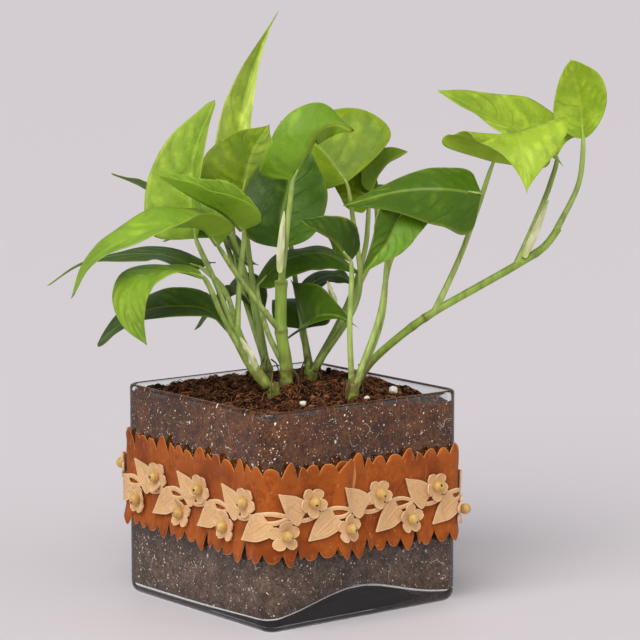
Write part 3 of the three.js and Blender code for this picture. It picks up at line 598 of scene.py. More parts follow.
def edge_depth(run, seed):
    """Depth of the cut edge below the tip line: the shallowest of the petals' rounded outlines,
    each wandering a little in place and size from one repeat to the next."""
    depth = np.full(run.shape, NOTCH_DEPTH)
    random = np.random.default_rng(seed)
    for k in range(-1, int((BAND_END - SCALLOP_FIRST) / SCALLOP_PITCH) + 2):
        for place_at, tip, left, right, power in PETALS:
            jitter = random.normal(0, 1, 4)
            away = run - (SCALLOP_FIRST + k * SCALLOP_PITCH + place_at + 0.4 * jitter[0])
            share = np.where(away < 0, -away / left, away / right) * (1 + 0.07 * jitter[1])
            rounded = power * (1 + 0.1 * np.clip(jitter[3], -1.5, 1.5))
            depth = np.minimum(depth, tip + 0.45 * jitter[2] + 6.5 * np.minimum(share, 2) ** rounded)
    return depth


def suede(name, settings, key, wear_and_crease_shade):
    """Napped leather: a ground colour, dark rubbed patches and painted shade along soft creases,
    both as strong as the last argument, pale brushed streaks and short pale hairs, and pale cut edges."""
    tails = ("", "_dark", "_light", "_edge")
    colour, dark, light, rim = (getattr(settings, key + tail) for tail in tails)
    look = Nodes(name)
    patch, nap = look.cloud(42, 5), look.cloud(1500, 3)
    crease = look.ramp(look.apart(look.cloud(48, 2.5, (1, 1, 0.6))), 0.03, 0.0)
    crease = look.times(crease, look.patches(60, 1, 0.45, 0.6))
    tone = look.mix(look.ramp(patch, 0.44, 0.68, 0, 0.85 * wear_and_crease_shade), colour, dark)
    tone = look.mix(look.patches(190, 4, 0.5, 0.7, 0.55 * wear_and_crease_shade), tone, dark)
    # painted shade: darker along the creases that the bump below sinks, scaled with the wear
    tone = look.mix(look.times(crease, 0.45 * wear_and_crease_shade), tone, dark)
    tone = look.mix(look.patches(420, 3, 0.56, 0.7, 0.4, (1, 1, 0.35)), tone, light)
    hair = look.ramp(look.apart(look.cloud(230, 1.5)), 0.012, 0.004)
    tone = look.mix(look.times(hair, look.patches(260, 1, 0.56, 0.62, 0.55)), tone, rim)
    tone = look.mix(look.ramp(nap, 0.3, 0.75, 0, 0.25), tone, dark)
    tone = look.mix(look.ramp(look.attribute("edge"), 0.5, 0.1, 0, 0.85), tone, rim)
    folds = look.math("SUBTRACT", patch, look.times(crease, 0.25))
    return look.finish(
        Base_Color=tone,
        Roughness=0.88,
        Specular_IOR_Level=0.15,
        Sheen_Weight=0.1,
        Sheen_Roughness=0.5,
        Normal=look.bump(folds, 0.5, 0.0018, look.bump(nap, 0.5, 0.0004)),
    )


def make_band(settings):
    """A strip whose columns run round the vase and whose rows go from the lower cut edge, up the
    outer face, to the upper edge, and back down the inner face. The rows stay level within the
    core and spread from there to the cut edges, and the top of the end is dragged forward."""
    step, core_share, rim_share = 0.32, 0.7, 0.97
    run = np.arange(BAND_START, BAND_END, step)
    share = np.linspace(-core_share, core_share, 15)[1:-1]
    lowest, highest = np.linspace(-1, -core_share, 7), np.linspace(core_share, 1, 7)
    share = np.concatenate([lowest, share, highest])[None, :]
    low = BAND_HALF - edge_depth(run, 3)
    high = BAND_HALF - edge_depth(run, 4)
    reach = np.where(share < 0, low[:, None], high[:, None])
    size = np.abs(share)
    spread = BAND_CORE + (size - core_share) / (1 - core_share) * (reach - BAND_CORE)
    rise = np.sign(share) * np.where(size < core_share, size / core_share * BAND_CORE, spread)
    runs = np.broadcast_to(run[:, None], rise.shape)
    drag = smoothstep(runs, BAND_END - 9, BAND_END) * smoothstep(rise, 5, 19)
    stand = band_lift(runs) + band_bulge(runs, rise) + 0.5 * drag
    runs = runs + 2.6 * drag
    height = band_middle(runs) + rise
    thin = np.where(size > rim_share, 0.55, 1.0)
    outer = wall_point(runs, stand + BAND_THICK * thin, height)
    inner = wall_point(runs, stand + BAND_THICK * (1 - thin), height)
    edge = np.minimum(reach - np.abs(rise), np.minimum(runs - BAND_START, BAND_END - runs))
    pile = Pile()
    pile.add_sheet(np.concatenate([outer, inner[:, ::-1]], axis=1), edge=both(edge))
    piece = pile.build("suede_strip", [suede("rust_suede", settings, "suede", 1.0)], crease=60)
    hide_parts("suede_band")


# ---- the lace garland and its beads ----
def lace_point(run, rise, lift):
    """A point of the lace, which lies on the band and follows its waves."""
    out = band_lift(run) + band_bulge(run, rise + LACE_MIDDLE) + BAND_THICK + 0.1 + lift
    return wall_point(run, out, band_middle(run) + LACE_MIDDLE + rise)


def add_plate(pile, run, rise, lift, thick, edge):
    """Adds a plate from a grid of places on the lace: its rings go across the outer face and back
    inside it, and `edge` says how far each place is from the cut edge."""
    outer, inner = lace_point(run, rise, lift + thick), lace_point(run, rise, lift)
    pile.add_sheet(np.concatenate([outer, inner[:, ::-1]], axis=1), edge=both(edge))


def lace_vine(pile, phase, lift):
    """A ribbon that waves between the flowers: its middle is a cosine of the run."""
    run = np.arange(LACE_START, LACE_END, 0.6)[:, None]
    across = np.linspace(1, -1, 5)[None, :]
    wave = VINE_WAVE * np.cos(2 * math.pi * (run - LACE_FIRST) / LACE_PITCH + phase)
    width = VINE_HALF + 0.12 * noise(np.concatenate([run, 0 * run], 1), 5, 21)[:, None]
    rise = wave - across * width
    thick, edge = 0.75 + 0.2 * (1 - across**2), (1 - np.abs(across)) * width
    add_plate(pile, run + 0 * across, rise, lift, thick, edge)


def lace_leaf(pile, start, ends, seed):
    """A flat leaf: half-width grows as a root of the way from the foot and falls, hollow at last,
    to a point that bends to one side; the edges start behind the foot, as on a heart. Raised
    veins start at the foot at four slants and curve towards the tip, with a rib between them."""
    random = np.random.default_rng(seed)
    t = np.linspace(0, 1, 32)[1:-1, None]
    s = np.linspace(-1, 1, 29)[None, :]
    foot, tip = np.array(ends) + (start, 0)
    along = tip - foot
    length = np.hypot(*along)
    ahead = along / length
    rounding, hollow = 0.45, 1.25
    outline = lambda at: at**rounding * (1 - at) ** hollow
    half = outline(t) / outline(rounding / (rounding + hollow)) * LACE_LEAF_WIDTH / 2
    side = s * half + 1.3 * t**2.5 * random.uniform(0.6, 1.2)
    back = (t - 0.11 * np.abs(s) ** 1.6 * np.sin(np.pi * np.minimum(t / 0.5, 1))) * length
    run = foot[0] + ahead[0] * back + ahead[1] * side
    rise = foot[1] + ahead[1] * back - ahead[0] * side
    ribs = 0.28 * np.exp(-((s * half) ** 2) / 0.05) * (1 - t**3)
    for slant in (-0.72, -0.4, 0.4, 0.72):
        away = (s - slant * np.sin(np.pi * np.clip(t / 0.86, 0, 1)) ** 0.7) * half
        fade = smoothstep(0.84 - t, 0, 0.15) * smoothstep(t, 0.08, 0.2)
        ribs = np.maximum(ribs, 0.2 * np.exp(-(away**2) / 0.04) * fade)
    curl = random.uniform(0.0, 1.1) * t**2 + 0.3 * s**2 * half / (LACE_LEAF_WIDTH / 2)
    add_plate(pile, run, rise, 0.35 + curl, 0.7 + ribs, (1 - np.abs(s)) * half)


def lace_petal(pile, centre, angle, seed):
    """A round petal: a narrow neck, then a full circle, cupped upwards; some petals curl far up.
    Its rows come closer towards the round end."""
    random = np.random.default_rng(seed)
    t = np.sin(math.pi / 2 * np.linspace(0, 1, 16)[1:-1, None])
    s = np.linspace(-1, 1, 9)[None, :]
    reach = FLOWER_RADIUS * random.uniform(0.94, 1.06)
    disc = 2.4 * np.sqrt(np.clip(1 - ((t - 0.63) / 0.375) ** 2, 0, 1))
    half = np.maximum(np.maximum(disc, 0.95 * smoothstep(0.5 - t, 0, 0.3)), 0.25)
    side = s * half
    run = centre[0] + reach * t * math.cos(angle) - side * math.sin(angle)
    rise = centre[1] + reach * t * math.sin(angle) + side * math.cos(angle)
    curled = 1.6 if random.uniform(0, 1) < 0.15 else 0.0
    cup = (random.uniform(0.3, 1.2) + curled) * t**2 + 0.5 * s**2 * t
    edge = np.minimum((1 - np.abs(s)) * half, reach * (1 - t))
    add_plate(pile, run, rise, 0.4 + cup, 0.75 + 0.15 * (1 - s**2), edge)


def flower_spots():
    """Middles of the flowers that fit between the ends of the lace."""
    starts = LACE_FIRST + LACE_PITCH * np.arange(LACE_REPEATS + 1)
    spots = [(start + run, rise) for start in starts for run, rise in FLOWER_PLACES]
    return [s for s in spots if LACE_START + FLOWER_RADIUS < s[0] < LACE_END - FLOWER_RADIUS]


def make_lace(settings):
    """Two vines that wave against each other, two leaves in each repeat, and the flowers."""
    pile = Pile()
    lace_vine(pile, 0.5, 0.1)
    lace_vine(pile, 0.5 + math.pi, 0.22)
    for k in range(LACE_REPEATS + 1):
        start = LACE_FIRST + k * LACE_PITCH
        if k > 0:
            lace_leaf(pile, start, LACE_LEAVES[0], 2 * k)
        if k < LACE_REPEATS:
            lace_leaf(pile, start, LACE_LEAVES[1], 2 * k + 1)
    for k, (run, rise) in enumerate(flower_spots()):
        for petal in range(5):
            angle = -math.copysign(math.pi / 2, rise) + petal * 2 * math.pi / 5
            lace_petal(pile, (run, rise), angle, 100 + 5 * k + petal)
    piece = pile.build("garland_lace", [suede("tan_suede", settings, "lace", 0.45)], crease=50)
    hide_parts("lace_garland")


def make_beads(settings):
    """Wooden beads turned on a lathe: a ball flattened where the hole goes in, and the hole."""
    look = Nodes("turned_wood")
    grain = look.cloud(700, 3, (1, 1, 0.25))
    colour = look.mix(look.ramp(grain, 0.35, 0.7), settings.bead, settings.bead_dark)
    # painted shade inside the hole, where the rings turn into the bore
    colour = look.mix(look.ramp(look.attribute("hole"), 0.3, 0.7), colour, BEAD_HOLE_SHADE)
    material = look.finish(Base_Color=colour, Roughness=0.42, Normal=look.bump(grain, 0.2, 0.0003))
    ball = round(settings.bead_radius / MM, 6)  # a property keeps about seven digits
    along, across = ball * np.array(BEAD_PROFILE).T[..., None, None]
    hole = np.array([0.0] * 9 + [0.5, 1, 1])[:, None]
    around = circle(20)[:, None]
    up = np.array([0, 0, 1.0])
    seat = 0.9 + ball
    random = np.random.default_rng(9)
    for number, (run, rise) in enumerate(flower_spots(), 1):
        centre = lace_point(run, rise, seat)
        outward = lace_point(run, rise, seat + 1) - centre
        rise_by, turn_by = 0.35 * random.normal(0, 1), 0.35 * random.normal(0, 1)
        axis = unit(outward + rise_by * up + turn_by * np.cross(up, outward))
        first = unit(np.cross(up, axis))
        second = np.cross(axis, first)
        rings = centre + along * axis + across * (np.cos(around) * first + np.sin(around) * second)
        pile = Pile()
        pile.add_skin(centre - ball * axis, rings, centre + 0.38 * ball * axis, hole=hole)
        piece = pile.build(f"bead_{number}", [material])
        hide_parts(f"wooden_bead_{number}")


# ---- the plant ----
class Blade(NamedTuple):
    """One leaf blade. Points are [across, towards the viewer, height], base first."""

    tone: str
    width: float
    fold: tuple  # degrees that the halves are folded up, at the base and at the tip
    side: tuple  # the way that the right half points
    rib: tuple  # points of the midrib
    stalk: tuple = ()  # points of the stalk that carries it
    side_tip: tuple = None  # the same as side, at the tip
    skew: float = 0  # degrees that both halves turn about the midrib
    roll: float = 0  # degrees that the left half rolls up near the base
    slant: float = 0  # how far the right edge runs ahead of the left
    lobe: float = 0.1  # how far the heart's lobes reach back
    taper: float = 1.05  # power of the outline towards the tip
    shoulder: float = 0.5  # power of the outline at the base
    blunt: float = 0  # how much the tip is rounded
    lit: float = 1.0  # painted light and shade: the left half's colour is multiplied by this
    wither: float = 1.0  # share along the midrib from which the tip is brown


class Shoot(NamedTuple):
    """A shoot: where it stands, its thickness, its blades, and the stem they sit on, if it shows."""

    name: str
    root: tuple
    thick: float
    leaves: tuple
    stem: tuple = ()
    nodes: tuple = ()  # shares along the stem where leaves grew
    sheaths: tuple = ()


def sheath(width, side, *rib):
    """A dry sheath that once wrapped a young leaf: a narrow blade folded backwards."""
    return Blade("sheath", width, (-42, -42), side, rib, lobe=0, shoulder=0.25, taper=0.6)


SHOOTS = (
    Shoot("shoot_left", (-7, 22), 2.6, (
        # tall leaf standing at the left
        Blade("green", 43, (58, 38), (0.87, 0.5, 0), ((-39, 4, 151), (-41, 2, 170), (-39, 2, 187),
            (-31, 0, 207.5)), ((-23, 16, 113), (-30, 12, 132)), taper=1.35, blunt=0.6),
        # folded leaf whose keel faces the viewer
        Blade("bright", 26, (84, 50), (0, -1, 0.1), ((-19, 18, 156), (-26, 26, 164), (-38, 30, 171),
            (-53, 30, 180)), ((-22, 16, 112), (-21, 11, 134)), skew=16, lobe=0.02, taper=0.95,
            shoulder=0.3),
        # far leaf pointing left
        Blade("deep", 28, (10, -8), (0, -1, 0.12), ((-38, -20, 136), (-54, -32, 140), (-69, -36, 140),
            (-80, -40, 138), (-92, -44, 134), (-105, -44, 125)), ((-21, 17, 111), (-28, -10, 128)),
            taper=2),
        # leaf that hooks down at its tip
        Blade("bright", 25, (13, -6), (0, -1, 0.05), ((-35, 34, 139), (-44, 38, 142), (-53, 42, 142.6),
            (-61, 46, 139.4), (-64, 48, 133), (-62.5, 48, 123), (-57, 46, 113)), ((-18, 18, 103),
            (-26, 24, 118)), side_tip=(-1, -0.1, 0), lobe=0.03),
        # dark low leaf
        Blade("deep", 25, (22, 5), (0, -0.88, 0.45), ((-24, 14, 113), (-34.5, 18, 123.5), (-46, 22, 125.5),
            (-58, 22, 124), (-68, 21, 119), (-79, 16, 109)), ((-16, 19, 101),), skew=-8, taper=0.45),
    ), stem=((-9, 22, 92), (-13, 21, 97), (-18, 18, 104), (-23, 16, 116)), nodes=(0.28, 0.72), sheaths=(
        sheath(4.2, (1, 0, -0.5), (-14.5, 22.5, 98.1), (-16.9, 24.5, 106.6), (-20.5, 24.5, 113.2)),
    )),
    Shoot("shoot_back_left", (-10, -14), 2.4, (
        # tallest leaf, narrow and upright
        Blade("tall", 27, (55, 60), (0.95, 0.3, 0), ((-23.6, -34, 174.2), (-21.6, -36, 196.7),
            (-16.5, -36, 218), (-10.8, -34, 232.3), (-5.2, -32, 243.2)), ((-10, -14, 93), (-22, -32, 130),
            (-25.5, -35, 160)), skew=-6, lobe=0.12, taper=1.7, lit=0.7),
        # dark leaf pointing left
        Blade("deep", 24, (5, 0), (0, -0.95, -0.28), ((-34, -30, 165), (-51, -36, 168), (-62, -40, 169),
            (-77, -44, 173.5)), ((-10, -15, 93), (-22, -28, 140))),
        # olive leaf behind the middle
        Blade("olive", 40, (20, 10), (0.93, 0.2, -0.35), ((-20, -12, 168), (-18, -16, 178.5),
            (-15, -19, 187), (-9, -22, 196)), ((-10, -13, 93), (-16, -12, 130)), taper=1.35),
        # low dark leaf drooping left
        Blade("deep", 28, (15, 0), (0, -1, 0.2), ((-16, -24, 118), (-22, -32, 124), (-32, -40, 118),
            (-42, -44, 106)), ((-11, -15, 93),)),
        # greyish leaf at mid height
        Blade("dark", 26, (12, 0), (0, -1, 0.1), ((-18, -30, 136), (-30, -40, 146), (-44, -48, 148),
            (-56, -54, 143)), ((-10, -16, 93), (-14, -24, 116))),
        # leaf arching to the back
        Blade("bright", 30, (14, 0), (1, 0, 0), ((-30, -40, 150), (-34, -52, 158), (-38, -64, 158),
            (-42, -76, 148)), ((-9, -16, 93), (-20, -32, 122))),
    )),
    Shoot("shoot_centre", (-2, 8), 2.8, (
        # leaf arching left, closest to the viewer
        Blade("bright", 28, (9, 9), (0, -0.93, 0.36), ((-29, 28, 150.6), (-35, 34, 158.6), (-44, 38, 160.1),
            (-54, 42, 159), (-63, 44, 156), (-74, 46, 150.6), (-81, 46, 143.6), (-87, 46, 131.6)),
            ((-4, 8, 113), (-12, 15, 124), (-23, 23, 140.5)), skew=2, roll=105, lobe=0.03, taper=0.9,
            shoulder=0.42, wither=0.96),
        # glossy curled leaf in the middle
        Blade("glossy", 31.5, (-43, -43), (0.85, 0.5, -0.3), ((1, 18, 176), (4.5, 22, 184.5),
            (9.5, 22, 195), (14, 20, 198.5), (20, 18, 199.5), (26, 14, 196)), ((-4, 6, 133), (-2, 12, 150)),
            skew=-69, lobe=0.28, taper=1.2, shoulder=0.7, wither=0.93),
        # broad blue-green leaf behind it
        Blade("middle", 36, (15, 5), (1, 0.1, 0), ((-4, 2, 147), (-4, 0, 158), (-1.5, -4, 170),
            (1.5, -8, 182), (5.5, -12, 191)), ((-4, 7, 128), (-4, 4, 140)), lobe=0.08, taper=1,
            shoulder=0.7, lit=0.5),
        # small dark leaf pointing right
        Blade("dark", 22, (-5, -15), (0, 0.88, -0.42), ((-14, -14, 129), (-4, -18, 139), (13, -22, 142),
            (30, -22, 133)), ((-2, 8, 97), (-10, -2, 112)), taper=0.9),
    ), stem=((-2, 8, 92), (-2, 8, 100), (-4, 8, 113), (-4, 6, 134)), nodes=(0.12, 0.5, 0.97), sheaths=(
        sheath(4.2, (1, 0, 0), (-4.6, 15.0, 138.1), (-3.9, 16.5, 150.4), (-2.6, 16.0, 163.8)),
        sheath(3.2, (1, 0, 0.2), (18.6, -8.0, 122.4), (16.5, -8.0, 127.4), (14.9, -8.0, 132.0)),
    )),
    Shoot("shoot_back", (8, -16), 2.8, (
        # broad yellow-green leaf at the top right
        Blade("olive", 54, (15, 15), (0.7, 0.1, 0.72), ((23, -18, 171.9), (13.5, -28, 183.9),
            (3.5, -37, 190.9), (-5, -46, 195.4)), ((9, -15, 93), (28, -14, 125), (26, -16, 154)), skew=-28,
            lobe=0, taper=1.35, shoulder=0.5),
        # recurved leaf behind it
        Blade("dark", 17, (40, 35), (-0.6, 0.3, 0.75), ((33, -30, 166.5), (36.5, -34, 174), (41, -37, 179),
            (49, -40, 183)), ((9, -16, 93), (24, -34, 120), (31, -35, 142)), skew=-28, lobe=0.02,
            taper=0.9),
        # low dark leaf pointing right
        Blade("dark", 44, (35, 35), (0.3, 0.35, -0.9), ((5, -16, 111), (11, -8, 117), (19, -2, 118),
            (29, 2, 113)), ((7, -16, 93),), skew=35, lobe=0.12, taper=2.4, shoulder=0.35),
        # small dark leaf behind
        Blade("deep", 16, (5, -5), (0, 0.95, -0.3), ((6, -34, 125), (13, -38, 130), (22, -38, 130),
            (28, -38, 124)), ((7, -17, 93), (5, -26, 112))),
        # olive leaf facing the viewer
        Blade("olive", 20, (10, 5), (0, -0.5, 0.86), ((34, -32, 164), (26, -32, 168), (17, -32, 172)),
            ((10, -17, 93), (26, -40, 120), (36, -40, 150))),
        # leaf standing out at the back
        Blade("bright", 30, (16, 0), (1, 0, 0), ((-2, -38, 156), (-4, -50, 170), (-6, -64, 174),
            (-8, -76, 166)), ((8, -18, 93), (2, -30, 126))),
        # leaf at the back right
        Blade("dark", 30, (16, 0), (1, 0.3, 0), ((44, -38, 158), (50, -50, 166), (56, -62, 164),
            (60, -74, 154)), ((10, -18, 93), (28, -32, 126))),
        # low leaf at the back
        Blade("deep", 26, (12, 0), (1, 0, 0), ((4, -34, 108), (4, -48, 118), (2, -62, 116), (0, -74, 106)),
            ((8, -18, 93),)),
    )),
    Shoot("shoot_right", (25, 22), 2.8, (
        # dark leaf folded towards the middle
        Blade("deep", 23, (-50, -50), (0.1, -0.35, 0.93), ((24.5, 16, 143), (22.5, 18, 146),
            (18, 20, 151.5), (12.5, 21, 155), (7.5, 21, 157.5), (3.5, 20, 160.5)), ((25, 22, 91),
            (24, 22, 115)), skew=67, lobe=0.02, taper=0.9, shoulder=0.35),
        # wide dark leaf pointing left
        Blade("dark", 33, (-28, -22), (0, -0.7, 0.72), ((77, 24, 171.5), (62, 29, 174), (45, 26, 173),
            (21, 18, 166)), ((25.5, 22, 91), (36, 16, 120), (42, 12, 146), (60, 14, 166)), skew=14,
            lobe=0.03, taper=1.1, shoulder=0.15),
        # narrow leaf with a pale edge
        Blade("dark", 23, (25, 20), (-0.8, -0.2, 0.6), ((47, 16, 166), (43, 20, 159.5), (39, 23, 151.5),
            (34.5, 24, 146), (29, 24, 138.5)), ((26, 21, 91), (37, 12, 118), (40, 8, 145)), skew=12,
            taper=1.35, shoulder=0.3, lit=2),
    )),
    Shoot("shoot_trailing", (27, 2), 1.9, (
        # lime leaf bending towards the viewer
        Blade("lime", 50, (2, 2), (-1, 0, -0.45), ((83, 0, 182), (86.5, 3, 189.5), (91, 10, 195),
            (93, 18, 190.5), (94, 24, 181.5), (95, 28, 171.5)), ((59, 6, 121), (70, 4, 145)),
            side_tip=(-1, 0, 0.2), roll=15, slant=-0.09, lobe=0.08, taper=1.6, shoulder=0.4),
        # lime leaf pointing left over it
        Blade("lime", 40, (28, 18), (0, -0.85, 0.5), ((110, -14, 183), (96, -12, 193), (79, -8, 202),
            (60, -2, 211.5)), ((93, -4, 139), (102, -12, 158), (107.8, -16, 172)), slant=-0.1, lobe=0.22,
            taper=1.05, shoulder=0.4),
        # upright leaf at the tip of the vine
        Blade("lime", 27, (38, 20), (1, 0.05, 0.1), ((121.5, -20, 190), (120.5, -22, 202.5),
            (118, -20, 214), (115.5, -16, 223)), ((110, -13.5, 152), (120, -20, 172)), slant=0.13, lobe=0,
            taper=0.8, shoulder=0.6),
    ), stem=((28, 2, 92), (33, 0, 99), (48, 4, 113), (59, 6, 121), (78, 0, 131), (93, -4, 139),
        (105, -10, 146), (111, -14, 153)), nodes=(0.3, 0.36, 0.86), sheaths=(
        sheath(4.4, (0.9, 0, -0.4), (96.2, -2.5, 142.2), (101.6, -4.5, 154.0), (106.4, -6.5, 166.0)),
    )),
)


def blade_rings(leaf, rows=46, columns=20):
    """A leaf blade. Along the midrib t runs from 0 to 1 and across it s from -1 to 1. The half
    width is t to the power of the shoulder times (1 - t) to the power of the taper; near the base
    the edge is moved back along the midrib by a half wave, which makes the heart's lobes. The two
    halves are folded up about the midrib, one may roll up further near the base, cupped by the
    square of the reach and waved at the edge; slant moves one edge ahead of the other.
    The upper face has a groove over the midrib, the lower one a rib, and the rim is thin."""
    curve = Curve(place(leaf.rib))
    t = (np.linspace(0, 1, rows + 2)[1:-1, None] ** 1.25) * np.ones((1, columns + 1))
    s = np.linspace(-1, 1, columns + 1)[None, :] * np.ones((rows, 1))
    half = leaf.width / 2
    outline = lambda at: at**leaf.shoulder * (1 - at) ** leaf.taper
    swell = outline(t) / outline(leaf.shoulder / (leaf.shoulder + leaf.taper))
    swell = swell + leaf.blunt * np.sqrt(t * (1 - t)) * t**8
    back = leaf.lobe * np.sin(math.pi * np.minimum(t / LOBE_END, 1))
    middle, tangent = curve.at(t - back * np.abs(s) ** 1.5 + leaf.slant * s * np.sin(math.pi * t))
    side = place(leaf.side)
    across = side + (place(leaf.side_tip or leaf.side) - side) * t[..., None]
    across = unit(across - (across * tangent).sum(-1, keepdims=True) * tangent)
    normal = np.cross(across, tangent)
    reach = np.abs(s) * half * swell
    fold = leaf.fold[0] + (leaf.fold[1] - leaf.fold[0]) * t
    phi = np.radians(fold + np.sign(s) * leaf.skew + leaf.roll * (1 - t) ** 3 * (s < 0))
    wave = 0.8 * np.sin(2 * math.pi * (2.2 * t + 0.3 * np.sign(s))) * s * s * np.minimum(1, swell)
    fine = 0.35 * noise(np.stack([t * 9, s * 2 + 7 * half], -1), 1.0, int(leaf.width)) * np.abs(s)
    lift = reach * np.sin(phi) - 0.1 * reach**2 / half + wave + fine
    groove = 0.45 * np.exp(-((reach / 0.9) ** 2)) * (1 - t)
    body = middle + (np.sign(s) * reach * np.cos(phi))[..., None] * across
    thick = (0.16 + 0.4 * (1 - s * s)) / np.maximum(0.5, np.cos(phi))
    upper = body + (lift - groove)[..., None] * normal
    lower = body + (lift - thick - 1.3 * groove)[..., None] * normal
    rings = np.concatenate([upper, lower[:, ::-1]], axis=1)
    under = np.concatenate([0 * t, 0 * t + 1], axis=1)
    numbers = {"along": both(t), "across": both(s), "reach": both(reach), "under": under}
    return curve.at(0.0)[0], rings, curve.at(1.0)[0], numbers


def rod_rings(curve, rows, sides, radius):
    """Rings of a rod: circles of the given radii, square to the curve."""
    centre, tangent = curve.at(np.linspace(0, 1, rows))
    first = unit(TOWARD - (tangent @ TOWARD)[:, None] * tangent)
    second = np.cross(tangent, first)
    angle = circle(sides)[None, :, None]
    radius = np.asarray(radius, float).reshape(rows, -1, 1)
    return centre[:, None] + radius * (np.cos(angle) * first[:, None] + np.sin(angle) * second[:, None])


def leaf_look(settings):
    """Waxy leaf: each blade's green, with painted light and shade on some left halves, paler in
    irregular patches between the side veins, darker in broad clouds and along the sunken veins,
    with a faint pale midrib; the side veins leave the midrib and curve forward to the edge; the
    lower face is paler and duller."""
    look = Nodes("waxy_leaf")
    tint, across, under = look.attribute("tint"), look.attribute("across"), look.attribute("under")
    side = look.math("ABSOLUTE", across)
    along, forward = look.attribute("along"), look.times(look.math("POWER", side, 1.35), 0.3)
    order = look.math("SUBTRACT", along, forward)
    order = look.plus(order, look.times(look.cloud(38, 3), 0.22))
    away = look.apart(look.math("FRACT", look.times(order, 7.0)))
    vein = look.times(look.ramp(away, 0.15, 0.0), look.patches(60, 2, 0.42, 0.66))
    between = look.times(look.ramp(away, 0.05, 0.4), look.patches(120, 5, 0.42, 0.66))
    flecks = look.math("MAXIMUM", between, look.patches(420, 4, 0.55, 0.72, 0.35))
    rib = look.ramp(look.attribute("reach"), 0.9, 0.2)
    shade = look.mix(0.5, tint, settings.leaf_shade)
    paler = look.mix(0.12, look.mix(1.0, tint, LEAF_PALER, "MULTIPLY"), settings.leaf_pale)
    upper = look.mix(look.times(flecks, 0.6), tint, paler)
    broad, small = look.patches(26, 3, 0.42, 0.7, 0.5), look.patches(85, 4, 0.44, 0.62, 0.62)
    upper = look.mix(look.math("MAXIMUM", broad, small), upper, shade)
    upper = look.mix(look.times(vein, 0.24), upper, shade)
    upper = look.mix(look.times(look.ramp(side, 0.9, 1.0), 0.25), upper, settings.leaf_pale)
    upper = look.mix(look.times(rib, 0.22), upper, settings.leaf_pale)
    lower = look.mix(0.28, tint, settings.leaf_under)
    lower = look.mix(look.patches(85, 4, 0.46, 0.66, 0.3), lower, shade)
    ribs = look.math("MAXIMUM", rib, look.times(vein, 0.5))
    lower = look.mix(look.times(ribs, 0.28), lower, settings.leaf_pale)
    colour = look.mix(look.attribute("wither"), look.mix(under, upper, lower), settings.node_brown)
    relief = look.math("SUBTRACT", look.times(vein, -0.35), look.cloud(150, 3))
    return look.finish(
        Base_Color=colour,
        Roughness=look.ramp(under, 0, 1, 0.4, 0.6),
        Specular_IOR_Level=0.2,
        Normal=look.bump(relief, 0.6, 0.0009),
    )


def stalk_look(settings):
    """Fleshy stalk: pale green with fine lengthwise lines, soiled at the foot, and with brown rings
    and flecks at the nodes."""
    look = Nodes("green_stalk")
    lines = look.cloud(420, 3, (1, 1, 0.1))
    colour = look.mix(look.ramp(lines, 0.35, 0.7, 0, 0.55), look.attribute("tint"), settings.stalk_dark)
    colour = look.mix(look.patches(150, 3, 0.5, 0.75, 0.5, (1, 1, 0.5)), colour, settings.stalk_dark)
    soiled = look.times(look.ramp(look.height(), 0.112, 0.09), look.patches(210, 4, 0.42, 0.58, 0.75))
    colour = look.mix(soiled, colour, settings.node_brown)
    scar = look.times(look.attribute("scar"), look.ramp(look.cloud(500, 2), 0.25, 0.6, 0.35, 1.0))
    return look.finish(
        Base_Color=look.mix(scar, colour, settings.node_brown),
        Roughness=0.42,
        Specular_IOR_Level=0.4,
        Normal=look.bump(lines, 0.35, 0.0005),
    )


def sheath_look(settings):
    """Papery sheath: pale, with fine lengthwise lines, greener towards its foot."""
    look = Nodes("papery_sheath")
    lines = look.patches(500, 2, 0.35, 0.7, 0.45, (1, 1, 0.08))
    colour = look.mix(lines, look.attribute("tint"), settings.stalk_pale)
    colour = look.mix(look.ramp(look.attribute("along"), 0.35, 0.0, 0, 0.7), colour, settings.stalk_pale)
    return look.finish(Base_Color=colour, Roughness=0.5, Specular_IOR_Level=0.3)


def add_blade(pile, leaf, tones, kind=0):
    """Adds a blade in its tone, with painted light and shade on its left half and the end of its tip
    withered.
    """
    first, rings, last, numbers = blade_rings(leaf)
    left = (numbers["across"] < 0)[..., None]
    # painted light and shade: the left half's tint is scaled by the blade's factor, darker below 1 and
    # brighter above
    tint = np.array(tones[leaf.tone]) * np.where(left, leaf.lit, 1.0)
    wither = smoothstep(numbers["along"], leaf.wither, 1.0 + 1e-6)
    pile.add_skin(first, rings, last, kind, tint=tint, scar=0, wither=wither, **numbers)


def add_rod(pile, points, radii, tint, scars=(), sides=14, bark=0.0):
    """A stalk or stem: a rod whose radius follows `radii` along it and swells at each scar."""
    curve = Curve(points)
    rows = max(12, int(curve.length / 1.2))
    t = np.linspace(0, 1, rows)
    radius = np.interp(t, np.linspace(0, 1, len(radii)), radii)
    scar = np.full(rows, bark)
    for spot in scars:
        away = (t - spot) * curve.length
        radius = radius * (1 + 0.13 * np.exp(-((away / 1.8) ** 2)))
        scar = np.maximum(scar, 0.85 * np.exp(-((away / 0.6) ** 2)))
    rings = rod_rings(curve, rows, sides, radius)
    unused = {"along": 0, "across": 0, "reach": 9, "under": 0, "wither": 0}
    pile.add_skin(curve.points[0], rings, curve.points[-1], 1, tint=tint, scar=scar[:, None], **unused)


def add_air_roots(pile, foot, ground, thick, tint):
    """Short brown roots: thin rods that leave the stem above the soil and bow down into it."""
    random = np.random.default_rng(int(abs(foot[0]) * 10))
    for _ in range(6):
        angle, height = random.uniform(0, 2 * math.pi), random.uniform(1.5, 10)
        out = np.array([math.cos(angle), math.sin(angle), 0])
        top = foot + out * (thick - 0.4) + (0, 0, ground + height)
        reach = random.uniform(1.5, 5)
        middle = top + out * reach * 0.7 + (0, 0, -0.3 * height)
        low = top + out * reach + (0, 0, -height - 1)
        add_rod(pile, [top, middle, low], ROOT_RADII, tint, sides=6, bark=1.0)


